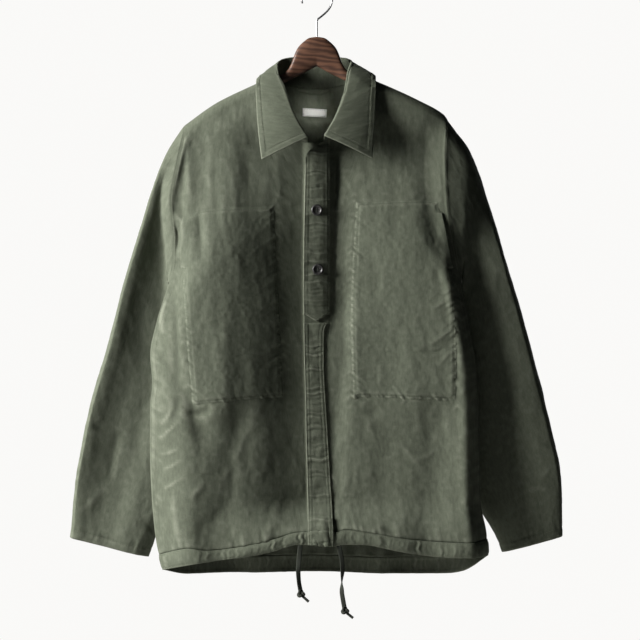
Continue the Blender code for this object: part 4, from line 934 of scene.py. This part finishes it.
def pocket(name, rows, grid, first_column, steps, surface, relief, seed, finish, thread):
    """A long patch with a double row of stitches, its upper outer edge open for the hand."""
    marks = [m + first_column for m in fine([steps], ())]
    x, z = crossings(grid[0], marks, grid[1], [m + 1 for m in fine([84, 44, 84], ())])
    d_out, d_in, d_top, d_bottom = pocket_distances(rows, x, z)
    open_part = ease((z + 0.462) / 0.03) * ease((-0.352 - z) / 0.02)
    held = 1 - open_part * np.exp(-(np.maximum(d_out, 0) / 0.02) ** 2)
    d_sewn_out = np.where(open_part > 0.5, 0.02, d_out)
    edge = np.minimum(np.minimum(d_sewn_out, d_in), np.minimum(d_top, d_bottom))
    lift = (CLOTH + LAY_GAP) * (-0.52 + 1.38 * ease(edge / 0.0120)) + 0.0003 * (1 - ease((edge - 0.0085) / 0.0025))
    lift = lift + sum(groove(edge, line) for line in POCKET_SEAMS) * held
    for away, along, k in ((d_out, z, 0.0), (d_in, z, 1.3), (d_bottom, x, 2.6)):
        near = np.exp(-np.maximum(away - 0.006, 0) / 0.009) * ease(away / 0.0015) * held
        lift = lift + 0.0006 * (0.6 + irregular(along + 0.7 * away, 0.0105, seed + k)) * near
        in_seam = np.exp(-((edge - 0.0047) / 0.0022) ** 2) * (np.abs(away - edge) < 1e-6)
        bumps = irregular(along + 0.5 * away, 0.0065, seed + 3 * k) + irregular(along, 0.0024, seed + 5 + k)
        lift = lift + 0.0006 * bumps * in_seam
    lift = lift + 0.0014 * open_part * np.exp(-(d_out / 0.016) ** 2)
    below = relief(x, z)
    points = raised(raised(with_y(x, z, surface(x, z)), below, -1), lift, -1)
    wear_and_painted_light = wear_and_painted_light_of(below + lift, 0.9) + 0.35 * np.exp(-(edge / 0.0012) ** 2)
    made = show(shell(name, points, CLOTH, finish, np.clip(wear_and_painted_light, -1, 1)), "pocket_cotton", name)
    sewn(name + "_stitches", made, [line for inset in POCKET_SEAMS for line in pocket_seam(rows, inset)], thread)


def pocket_seam(rows, inset):
    """One stitch line round a pocket, as seen square on: top, inner side, bottom, and the outer side's lower part."""
    def column(name, z):
        return smooth(rows, "z", name, z)
    way = np.sign(rows[0]["pocket_in"] - rows[0]["pocket_out"])
    x = np.linspace(column("pocket_out", -0.36), column("pocket_in", -0.36), 40)[1:-1]
    low_x = np.linspace(column("pocket_out", -0.65) + way * inset, column("pocket_in", -0.65) - way * inset, 40)
    z, open_z = np.linspace(-0.349 - inset, -0.652 + inset, 60), np.linspace(-0.452, -0.652 + inset, 40)
    return [np.stack([x, smooth(POCKET_TOP, "x", "z", x) - inset], axis=-1),
            np.stack([column("pocket_in", z) - way * inset, z], axis=-1),
            np.stack([low_x, smooth(POCKET_BOTTOM, "x", "z", low_x) + inset], axis=-1),
            np.stack([column("pocket_out", open_z) + way * inset, open_z], axis=-1)]


def strip(name, marks, tip, finish, thread):
    """The pointed buttonhole strip or the plain strip below it, puckered along its stitches."""
    x, z = crossings(LEFT_GRID[0], fine([30], ()), LEFT_GRID[1], marks)
    rows = np.array(marks)[:, None]
    across = (x - x[:, :1]) / (x[:, -1:] - x[:, :1])
    edge = np.minimum(x - x[:, :1], x[:, -1:] - x)
    seed = 1.0 + len(name)
    if tip:
        edge = np.minimum(edge, np.maximum(z - z[-1:], 0))
        z = z + 0.0080 * (np.abs(2 * across - 1) * 1.5 - 0.5) * ease((rows - 2.85) / 0.15)
    else:
        z = z - 0.010 * (1 - ease((rows - 3) / 0.05))
    pucker = 0.0011 * irregular(z + 0.0012 * np.sin(7 * across + 80 * z), 0.0056, seed) * np.sin(pi * across) ** 0.5
    pucker = pucker + 0.0004 * irregular(z - 0.004 * across, 0.0056, seed + 2) * np.exp(-edge / 0.005)
    rise = CLOTH + LAY_GAP + 0.0006 + np.maximum(pucker, -0.0007)
    rise = rise + groove(edge, 0.0022) + groove(edge, 0.0075, 0.0003)
    rise = rise + np.where(rows > 4.9, 0.0030, 0)    # over the hem's tunnel
    points = raised(raised(with_y(x, z, left_front_y(x, z)), left_relief(x, z), -1), rise, -1)
    wear_and_painted_light = wear_and_painted_light_of(pucker, 0.9) + 0.8 * np.exp(-(edge / 0.0011) ** 2)
    made = show(shell(name, points, CLOTH, finish, np.clip(wear_and_painted_light, -1, 1)), "olive_cotton", name)
    sides = [points[:, c][:, [0, 2]] + [way * 0.0022, 0] for c, way in ((0, 1), (-1, -1))]
    sewn(name + "_stitches", made, sides + ([points[-1][2:-2, [0, 2]] + [0, 0.0026]] if tip else []), thread)


def placket_and_fly(finish, thread):
    strip("placket", [m for m in fine([70, 64, 40]) if m <= 3], True, finish, thread)
    marks = [*(3 + np.linspace(0, 1, 70)), *(4 + np.linspace(0, 1, 110)[1:]), *(5 + np.linspace(0, 1, 17)[1:])]
    strip("fly_strip", marks, False, finish, thread)


def arm(name, front_seam, back_seam, outer_line, inner_line, creases, way, seed, finish, thread):
    """A dropped-shoulder sleeve in rings from the armhole's edge points to the cuff."""
    tip, underarm = (front_seam[0] + back_seam[0]) / 2, (front_seam[-1] + back_seam[-1]) / 2
    loop = np.vstack([tip, front_seam[1:-1], underarm, back_seam[-2:0:-1]])
    angle = np.arccos(1 - 2 * np.clip((tip[2] - loop[:, 2]) / (tip[2] - underarm[2]), 0, 1))
    angle[len(front_seam):] *= -1
    part = (1 - np.cos(angle)) / 2
    t = np.array(sorted(set(np.linspace(0, 1, SLEEVE_RINGS)) | {0.002}))[:, None]

    def line(rows, axis, at=t):
        return smooth(rows, "t", axis, at)

    shaped = smooth(SLEEVE_TROUGHS[name], "t", "share", t) * (np.sin(angle) > 0)
    stands_out = between(np.sin(angle), smooth(SLEEVE_FRONTS[name], "part", "share", part), shaped)
    oval = with_y(between(line(outer_line, "x"), line(inner_line, "x"), part),
                  between(line(outer_line, "z"), line(inner_line, "z"), part),
                  line(SLEEVE_DEPTH, "y") - line(SLEEVE_DEPTH, "depth") * stands_out)
    reach = between(ARMHOLE_REACH, UNDERARM_REACH, part ** 2)
    points = oval + (loop - oval[0]) * ((1 - ease(t / reach)) ** 2)[..., None]
    points = np.concatenate([points, points[:, :1]], axis=1)
    x, y, z = np.moveaxis(points, -1, 0)
    facing = np.append(np.sin(angle), np.sin(angle[0]))[None, :] + 0 * x
    girth, length = lengths(points)
    from_cuff = length[-1:] - length
    in_front = ease((facing + 0.15) / 0.3)
    lift = creased(creases[0], x, z) * in_front + creased(creases[1], x, z) * (1 - in_front)
    lift = lift + cloth_texture(x + 0.35 * y, z + 0.4 * y, 60 + 10 * int(seed))
    lift = lift + 0.0007 * irregular(girth + 0.3 * length, 0.0125, seed) * np.exp(-length / 0.012)
    lift = lift * ease(length / 0.004)
    lift = lift + 0.0008 * irregular(girth, 0.0090, seed + 3) * np.exp(-np.abs(from_cuff - 0.014) / 0.008)
    lift = lift + groove(from_cuff, 0.0135, 0.0008, 0.0012) + 0.0004 * (from_cuff < 0.0135)
    lift[:, -1] = lift[:, 0]
    normal = outward(np.concatenate([points[:, -3:-1], points, points[:, 1:3]], axis=1))[:, 2:-2]
    points = points + normal * way * lift[..., None]
    wear_and_painted_light = wear_and_painted_light_of(lift, 0.9) + 0.6 * np.exp(-(from_cuff / 0.0015) ** 2)
    points[:, -1] = points[:, 0]
    made = show(shell(name, points, CLOTH, finish, np.clip(wear_and_painted_light, -1, 1), True), "olive_cotton", name)
    cuff = [[float(line(rows, axis, CUFF_SEAM)) for axis in "xz"] for rows in (outer_line, inner_line)]
    for side, from_side in (("front", 1), ("back", -1)):
        sewn(name + "_stitches_" + side, made, [np.linspace(*cuff, 60)[3:-3]], thread, from_side)


RIGHT_ARM_CREASES = (table(
    CREASE, (-238, -372, -234, -374, -229, -378, 3, -1.5), (-307, -698, -317, -728, -327, -790, 8, -2),
    (-350, -690, -342, -694, -334, -698, 5, -1.4), (-297, -698, -310, -744, -320, -790, 7, 1),
    (-370, -829, -347, -806, -320, -775, 8, 1.7), (-274, -837, -258, -856, -249, -876, 6, -1.6)), table(
    CREASE, (-240, -480, -265, -520, -270, -580, 10, -3, 0.2), (-300, -470, -285, -530, -290, -600, 9, 2.5, -0.2),
    (-260, -620, -290, -650, -320, -640, 8, 2.5, 0.2), (-255, -700, -290, -720, -330, -700, 8, -2.2),
    (-300, -760, -320, -800, -330, -850, 8, 2.2, 0.2)))
LEFT_ARM_CREASES = (table(
    CREASE, (346, -772, 358, -760, 371, -749, 5, 0.9), (327, -794, 346, -789, 365, -789, 5, 0.9)), table(
    CREASE, (235, -480, 262, -520, 268, -580, 10, -3, -0.2), (300, -470, 285, -530, 290, -600, 9, 2.5, 0.2),
    (262, -620, 290, -655, 322, -645, 8, 2.5, 0.2), (255, -700, 290, -725, 335, -700, 8, -2.2),
    (300, -760, 322, -800, 335, -850, 8, 2.2, 0.2)))


# ---------------------------------------------------------------- collar

def clear_of_body(point):
    """Moves a point of the leaf away from the body where it would lie too close."""
    x, y, z = point
    if abs(y) < OVER_SHOULDER:
        return np.array([x, y, max(z, float(ridge(x)) + COLLAR_CLEARANCE)])
    lowered = z - COLLAR_CLEARANCE
    if lowered > ridge(x):
        return point
    if y < 0:
        folds = RIGHT_FOLDS if x < 0 else LEFT_FOLDS
        y = min(y, float(front_y(np.array(x), np.array(lowered), folds)) - COLLAR_CLEARANCE)
    else:
        y = max(y, float(back_y(np.array(x), np.array(lowered))) + COLLAR_CLEARANCE)
    return np.array([x, y, z])


def collar_section(at):
    def value(column):
        return float(smooth(COLLAR, "section", column, at))
    here = (np.array(value("neck_x")), np.array(value("neck_z")))
    if SHOULDER_SECTIONS[0] <= at <= SHOULDER_SECTIONS[1]:
        seam_y = back_y(*here)
    else:
        seam_y = right_front_y(*here) if here[0] < 0 else left_front_y(*here)
    neck = np.array([here[0], seam_y, here[1]])
    roll = np.array([value("roll_x"), value("roll_y"), value("roll_z")])
    edge = np.array([value("edge_x"), value("edge_y"), value("edge_z")])
    neck += (roll - neck) / np.linalg.norm(roll - neck) * NECK_GAP
    neck[0] -= np.sign(neck[0]) * SIDE_NECK_GAP * min(1, abs(neck[0]) / NECK_HALF_WIDTH) ** 2
    out = np.array([roll[0] - NECK_CENTRE[0], roll[1] - NECK_CENTRE[1], 0])
    out /= np.linalg.norm(out)
    turn = roll + out * COLLAR_FOLD
    crest = (roll + turn) / 2 + np.array([0, 0, COLLAR_CREST])
    leaf = []
    for part in (0.3, 0.65, 1.0):
        bow = out * COLLAR_BOW * sin(pi * part)
        leaf.append(clear_of_body(between(turn, edge, part) + bow))
    return [neck, between(neck, roll, 0.5), roll, crest, turn, *leaf]


def through_sections(points, steps):
    """A soft curve across each section, through its eight points, with its own steps between them."""
    ends = np.concatenate([2 * points[:1] - points[1:2], points, 2 * points[-1:] - points[-2:-1]])
    rows = []
    for k, count in enumerate(steps):
        a, b, c, d = ends[k], ends[k + 1], ends[k + 2], ends[k + 3]
        for t in np.arange(count) / count:
            rows.append(0.5 * (2 * b + (c - a) * t + (2 * a - 5 * b + 4 * c - d) * t ** 2
                               + (3 * b - a - 3 * c + d) * t ** 3))
    return np.array([*rows, points[-1]])


def collar(finish, thread):
    """Stand and leaf in one: topstitched all round, puckered at its edge, softly waved along the leaf."""
    stations = np.linspace(0, 16, 273)
    sections = np.array([collar_section(at) for at in stations]).transpose(1, 0, 2)
    points = through_sections(sections, [6, 6, 4, 4, 10, 12, 12])
    along, across = lengths(points)
    to_edge = across[-1:] - across
    on_leaf = (np.arange(len(points)) >= 20)[:, None] * 1.0
    end = np.minimum(along - along[:, :1], along[:, -1:] - along)
    edge = np.minimum(to_edge, end)
    lift = on_leaf * (groove(edge, 0.0090, 0.0007, 0.0010) + 0.0005 * (1 - ease((edge - 0.0090) / 0.0015)))
    lift = lift + on_leaf * 0.0007 * irregular(along, 0.0085, 3.0) * np.exp(-np.abs(to_edge - 0.0085) / 0.004)
    lift = lift + on_leaf * 0.0005 * irregular(across, 0.0080, 5.0) * np.exp(-np.abs(end - 0.0085) / 0.004)
    lift = lift + on_leaf * 0.0009 * crumple(along, across, 0.030, 41) + 0.00035 * crumple(along, across, 0.009, 43)
    lift = lift * ease(across / 0.003)
    points = raised(points, lift, 1)
    wear_and_painted_light = wear_and_painted_light_of(lift, 0.8) + 0.9 * np.exp(-(edge / 0.0016) ** 2) * on_leaf \
        + 0.5 * np.exp(-((across - across[18:19]) / 0.003) ** 2)
    made = show(shell("collar", points, CLOTH, finish, np.clip(wear_and_painted_light, -1, 1)), "olive_cotton", "collar")
    seam = np.argmin(np.abs(to_edge - 0.0082), axis=0)
    row = points[seam, np.arange(len(stations))][:, [0, 2]]
    for name, first, last, way in (("front_right", 10, 72, 1), ("front_left", 200, 263, 1), ("back", 102, 172, -1)):
        sewn("collar_stitches_" + name, made, [row[first:last]], thread, way)
    leaf_ends = [points[20:-9, column][:, [0, 2]] for column in (10, 262)]
    sewn("collar_stitches_ends", made, leaf_ends, thread)


# ---------------------------------------------------------------- small pieces

def buttons(finish, thread):
    """Turned four-hole discs with a raised rim, each held by two bars of thread."""
    for name, (x, z) in BUTTON_PLACES.items():
        front = float(left_front_y(np.array(x), np.array(z)) - left_relief(np.array([x]), np.array([z]))[0]) \
            - 1.5 * CLOTH - 2 * LAY_GAP - 0.0006
        form, drill = bmesh.new(), bmesh.new()
        outline = [form.verts.new((radius, -height, 0)) for radius, height in BUTTON_PROFILE]
        edges = [form.edges.new(pair) for pair in zip(outline, outline[1:])]
        bmesh.ops.spin(form, geom=outline + edges, cent=(0, 0, 0), axis=(0, 1, 0), angle=2 * pi, steps=48,
                       use_merge=True)
        bmesh.ops.remove_doubles(form, verts=form.verts, dist=1e-6)
        bmesh.ops.recalc_face_normals(form, faces=form.faces)
        bmesh.ops.translate(form, verts=form.verts, vec=(x, front, z))
        for across in (-HOLE_OFFSET, HOLE_OFFSET):
            for down in (-HOLE_OFFSET, HOLE_OFFSET):
                hole = bmesh.ops.create_cone(drill, cap_ends=True, segments=16, radius1=BUTTON_HOLE,
                                             radius2=BUTTON_HOLE, depth=0.01)["verts"]
                bmesh.ops.rotate(drill, verts=hole, cent=(0, 0, 0), matrix=Matrix.Rotation(-pi / 2, 3, "X"))
                bmesh.ops.translate(drill, verts=hole, vec=(x + across, front, z + down))
        made, cutter = finished(form, name, finish), finished(drill, "drill", finish)
        cut = made.modifiers.new("holes", "BOOLEAN")
        cut.object, cut.solver = cutter, "EXACT"
        baked = bpy.data.meshes.new_from_object(made.evaluated_get(bpy.context.evaluated_depsgraph_get()))
        made.modifiers.clear()
        made.data = baked
        bpy.data.objects.remove(cutter, do_unlink=True)
        baked.shade_smooth()
        show(made, "dark_button", name)
        bars = [[(x + along, front - proud, z + row + strand) for along, proud in THREAD_BAR]
                for row in (-HOLE_OFFSET, HOLE_OFFSET) for strand in (-0.00028, 0, 0.00028)]
        show(tube(name + "_thread", bars, 0.00022, thread, 2), "tape_cotton")


def label(finish, thread):
    """A bare woven strip, turned under at its ends and sewn down on the inside of the back."""
    across, down = np.meshgrid(np.linspace(-.5, .5, 61) * LABEL_SIZE[0], np.linspace(.5, -.5, 21) * LABEL_SIZE[1])
    x = LABEL_CENTRE[0] + across * cos(LABEL_TILT) - down * sin(LABEL_TILT)
    z = LABEL_CENTRE[1] + across * sin(LABEL_TILT) + down * cos(LABEL_TILT)
    lift = 0.0004 * mottle(x, z, 0.008, 51) + groove(LABEL_SIZE[0] / 2 - np.abs(across), 0.0022, 0.0003, 0.0005) \
        + groove(LABEL_SIZE[1] / 2 - np.abs(down), 0.0011, 0.0002, 0.0004)
    y = back_y(x, z) + back_relief(x, z) - CLOTH / 2 - LABEL_WALL / 2 - LAY_GAP - 0.0008 - lift
    points = with_y(x, z, y)
    edge = np.minimum(LABEL_SIZE[0] / 2 - np.abs(across), LABEL_SIZE[1] / 2 - np.abs(down))
    wear_and_painted_light = 0.6 * np.exp(-(edge / 0.0007) ** 2)
    made = show(shell("label", points, LABEL_WALL, finish, wear_and_painted_light), "bare_label", "label")
    sewn("label_stitches", made, [points[r, 2:59][:, [0, 2]] for r in (2, 18)], thread)


def hanging_loop(finish):
    """A narrow double strip across the back neck seam that bows off the cloth between its ends."""
    steps, lines = np.linspace(0, 1, 49), []
    for part in np.linspace(0, 1, 9):
        x = between(*LOOP_ENDS, steps)
        rise = np.sin(pi * steps)
        z = smooth(BACK_TOP, "x", "z", x) - 0.0010 - LOOP_SAG * rise - part * LOOP_HEIGHT
        y = back_y(x, z) - CLOTH - LAY_GAP - LOOP_BOW * rise
        y = y - 0.0007 * sin(pi * part) + 0.0003 * irregular(x, 0.007, 2.0)
        lines.append(with_y(x, z, y))
    points = np.array(lines)
    edge = np.minimum(np.arange(9), 8 - np.arange(9))[:, None] + 0 * points[..., 0]
    show(shell("hanging_loop", points, CLOTH * 0.8, finish, 0.8 * (edge == 0)), "olive_cotton", "hanging_loop")


def through(points, steps):
    """A smooth curve through given points."""
    rows = [dict(step=k, x=point[0], y=point[1], z=point[2]) for k, point in enumerate(points)]
    at = np.linspace(0, len(points) - 1, steps + 1)
    return np.stack([smooth(rows, "step", axis, at) for axis in "xyz"], axis=-1)


def tape_route(name):
    """Where a tape hangs, in metres."""
    surface = right_front_y if name == "drawstring_right" else left_front_y
    x = np.array(TAPE_EXITS[name])
    z = smooth(FRONT_HEM, "x", "z", x) - TAPE_GAP
    y = surface(x, z)
    return [(float(x) + row["x"], float(y) + row["further_back"], float(z) - row["down"]) for row in TAPES[name]]


def ribbon(name, path, degrees, finish):
    """A flat tape along a path, turned about it by the degrees given from end to end."""
    turns = np.interp(np.linspace(0, 1, len(path)), np.linspace(0, 1, len(degrees)), degrees)
    outline = [(sin(2 * pi * j / 16), cos(2 * pi * j / 16)) for j in range(16)]
    rings = []
    for k, turn in enumerate(turns):
        way = Vector(path[min(k + 1, len(path) - 1)] - path[max(k - 1, 0)]).normalized()
        side = way.cross(Vector((0, 1, 0))).normalized()
        front = side.cross(way).normalized()
        a = radians(turn)
        wide, thin = side * cos(a) + front * sin(a), front * cos(a) - side * sin(a)
        rings.append([Vector(path[k]) + wide * (TAPE_WIDTH / 2 * np.sign(s) * abs(s) ** 0.6)
                      + thin * (TAPE_THICKNESS / 2 * np.sign(c) * abs(c) ** 0.6) for s, c in outline])
    return loft(name, rings, finish)


def drawstrings(finish):
    """Flat tapes out of the hem tunnel, each tied in an overhand knot above its short tail."""
    for name, (knot_name, way) in zip(TAPES, KNOT_DIRECTIONS.items()):
        route = tape_route(name)
        path = through(route, 44)
        made = show(ribbon(name, path, TAPE_TURNS[name], finish), "tape_cotton", name)
        along = (Vector(route[-1]) - Vector(route[-2])).normalized()
        centre = Vector(route[-1]) + along * 0.0045
        side = along.cross(Vector((0, 1, 0))).normalized()
        wraps = []
        for a in np.linspace(0, 2 * pi, 61):
            p, q, r = sin(a) + 2 * sin(2 * a), cos(a) - 2 * cos(2 * a), -sin(3 * a)
            wraps.append(tuple(centre + (side * p + along * q) * 0.00165 + Vector((0, 1, 0)) * r * 0.0022))
        tail = [tuple(centre + along * 0.002 + Vector(way).normalized() * s) for s in np.linspace(0, 0.0155, 9)]
        knot = show(tube(knot_name, [wraps, tail], 0.0021, finish, 3), "tape_cotton", knot_name)
        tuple(route[0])


# ---------------------------------------------------------------- hanger and hook

def hanger(finish):
    """One body from tip to tip: upright oval sections, thin over the hump and rounder along the arms."""
    hump_end = HUMP[-1]["x"]
    arm_parts = list(np.linspace(0.03, 0.93, 40)) + [0.95, 0.965, 0.978, 0.988, 0.995, 1.0]
    over = list(np.linspace(-hump_end, hump_end, 61))
    stations = ([between(-hump_end, ARM_TIP_RIGHT, part) for part in reversed(arm_parts)] + over
                + [between(hump_end, ARM_TIP_LEFT, part) for part in arm_parts])
    sides = 32
    rings = []
    for x in stations:
        tip = ARM_TIP_RIGHT if x < 0 else ARM_TIP_LEFT
        beyond = max(0.0, (abs(x) - hump_end) / (abs(tip) - hump_end))
        arm_top = float(ridge(np.array(x))) - CLOTH / 2 - HANGER_CLEARANCE
        if beyond <= 0:
            top, bottom = (float(smooth(HUMP, "x", side, abs(x))) for side in ("top", "bottom"))
            arm_share = float(ease(np.array((abs(x) - 0.030) / 0.028)))
            top = min(top, between(top, arm_top, arm_share))
        else:
            top = arm_top
            bottom = top - ARM_HEIGHT
        thicker = float(ease(np.array((abs(x) - 0.078) / 0.045)))
        half_depth = between(HUMP_HALF_DEPTH, ARM_HALF_DEPTH, thicker) * (1 - ARM_TAPER * beyond ** 2)
        end_round = float(quarter_round(np.array((1 - beyond) / 0.06))) * 0.75 + 0.25
        half_height = (top - bottom) / 2 * end_round
        middle = top - (top - bottom) / 2 - 0.002 * (1 - end_round)
        rings.append([(x, half_depth * end_round * np.sign(cos(a)) * abs(cos(a)) ** 0.75,
                       middle + half_height * np.sign(sin(a)) * abs(sin(a)) ** 0.9)
                      for a in (2 * pi * k / sides for k in range(sides))])
    show(loft("hanger", rings, finish), "stained_wood", "hanger")


def hook(finish):
    """Straight stem, a bend to the left side and a round arch over the origin, its end rounded."""
    centre_z = WIRE_RADIUS - HOOK_RADIUS
    stem = [(0, 0, HUMP[0]["top"] + SEAM_GAP), (0, 0, -0.072), (0, 0, -0.0625), (0.0012, 0, -0.0585),
            (0.0060, 0, -0.0545), (0.0120, 0, -0.0495), (0.0178, 0, -0.0436), (0.0220, 0, -0.0365)]
    arch = [(HOOK_RADIUS * cos(a), 0, centre_z + HOOK_RADIUS * sin(a))
            for a in np.linspace(HOOK_FROM, HOOK_TO, 73)]
    path = list(through(stem + arch[::8], 260))
    rounded = ((0, 0.988, 0.993, 0.997, 1), (1, 1, 0.93, 0.75, 0.45))
    show(tube("hook", [path], WIRE_RADIUS, finish, 6, rounded), "steel_wire", "hook")


# ---------------------------------------------------------------- sewing

def sewn(name, piece, lines, finish, way=1):
    """Short raised stitches on a piece's outer face, along lines of x and z; way -1 sews from behind."""
    face = BVHTree.FromObject(piece, bpy.context.evaluated_depsgraph_get())
    paths = []
    for line in lines:
        places = np.asarray(line, float)
        walked = np.concatenate([[0], np.linalg.norm(np.diff(places, axis=0), axis=1).cumsum()])
        for start in np.arange(STITCH_PITCH / 2, walked[-1] - STITCH, STITCH_PITCH):
            path = []
            for share, proud in ((0, -0.0001), (0.5, 0.0003), (1, -0.0001)):
                x, z = (float(np.interp(start + share * STITCH, walked, places[:, axis])) for axis in (0, 1))
                spot = face.ray_cast(Vector((x, -way, z)), Vector((0, way, 0)))[0]
                if spot:
                    path.append((x, spot.y - way * proud, z))
            if len(path) == 3 and max(abs(a[1] - b[1]) for a, b in zip(path, path[1:])) < 0.002:
                paths.append(path)
    return show(tube(name, paths, THREAD_RADIUS, finish, 0, ((0, 0.5, 1), (0.5, 1, 0.5))), "olive_cotton")


def front_seams(edge, way):
    """The armhole's stitch line and the side seam's two."""
    armhole, side = np.linspace(-0.235, -0.455, 60), np.linspace(-0.472, -0.862, 90)
    return [np.stack([edge(z) + way * inset, z], axis=-1)
            for z, inset in ((armhole, 0.0025), (side, 0.0022), (side, 0.0082))]


def armhole_edge(points, column, rows, count):
    """A panel's edge from the shoulder to the underarm, read at so many evenly spread steps."""
    line = points[:fine(rows).index(2.0) + 1, column]
    share, walked = np.linspace(0, 1, count), np.linspace(0, 1, len(line))
    return np.stack([np.interp(share, walked, line[:, axis]) for axis in range(3)], axis=-1)


def main():
    camera()
    surroundings()
    # The third colour of each cotton is its pale crest colour, partly rubbed wear and partly painted highlight.
    olive = cotton("olive_cotton", (0.080, 0.091, 0.064), (0.122, 0.136, 0.100), (0.205, 0.220, 0.170))
    patch = cotton("pocket_cotton", (0.076, 0.087, 0.061), (0.118, 0.132, 0.097), (0.205, 0.220, 0.170))
    # A darker copy of the body's olive: painted shade that tones down the light on the collar's up-facing leaf.
    leaf = cotton("collar_cotton_painted_shade", (0.068, 0.078, 0.054), (0.104, 0.117, 0.085), (0.190, 0.205, 0.157))
    tape = cotton("tape_cotton", (0.020, 0.023, 0.018), (0.042, 0.047, 0.037), (0.085, 0.092, 0.072), 380.0, 0.5)
    thread = cotton("sewing_thread", (0.110, 0.122, 0.088), (0.165, 0.178, 0.134), (0.2, 0.21, 0.16), 900.0)
    bare = cotton("bare_label", (0.78, 0.78, 0.75), (0.88, 0.88, 0.85), (0.92, 0.92, 0.90), 700.0, 0.3, 0.1)
    drawstrings(tape)
    made, right = panel("front_right", RIGHT_GRID, RIGHT_STEPS, FRONT_ROWS, right_front_y, right_relief, -1, olive)
    sewn("front_right_stitches", made, front_seams(edge_right, 1), thread)
    made, left = panel("front_left", LEFT_GRID, LEFT_STEPS, FRONT_ROWS, left_front_y, left_relief, -1, olive)
    sewn("front_left_stitches", made, front_seams(edge_left, -1), thread)
    _, back = panel("back", BACK_GRID, BACK_STEPS, BACK_ROWS, back_y, back_relief, 1, olive)
    hem_bands(olive, thread)
    pocket("pocket_right", RIGHT_COLUMNS, RIGHT_GRID, 1, 86, right_front_y, right_relief, 1.0, patch, thread)
    pocket("pocket_left", LEFT_COLUMNS, LEFT_GRID, 3, 90, left_front_y, left_relief, 2.0, patch, thread)
    placket_and_fly(olive, thread)
    count = fine(FRONT_ROWS).index(2.0) + 1
    arm("sleeve_right", right[:count, 0], armhole_edge(back, 0, BACK_ROWS, count), RIGHT_OUTSIDE, RIGHT_INSIDE,
        RIGHT_ARM_CREASES, -1, 1.0, olive, thread)
    arm("sleeve_left", left[:count, -1], armhole_edge(back, -1, BACK_ROWS, count), LEFT_OUTSIDE, LEFT_INSIDE,
        LEFT_ARM_CREASES, 1, 2.0, olive, thread)
    collar(leaf, thread)
    buttons(dark_button(), tape)
    label(bare, thread)
    hanging_loop(olive)
    hanger(stained_wood())
    hook(steel_wire())


main()
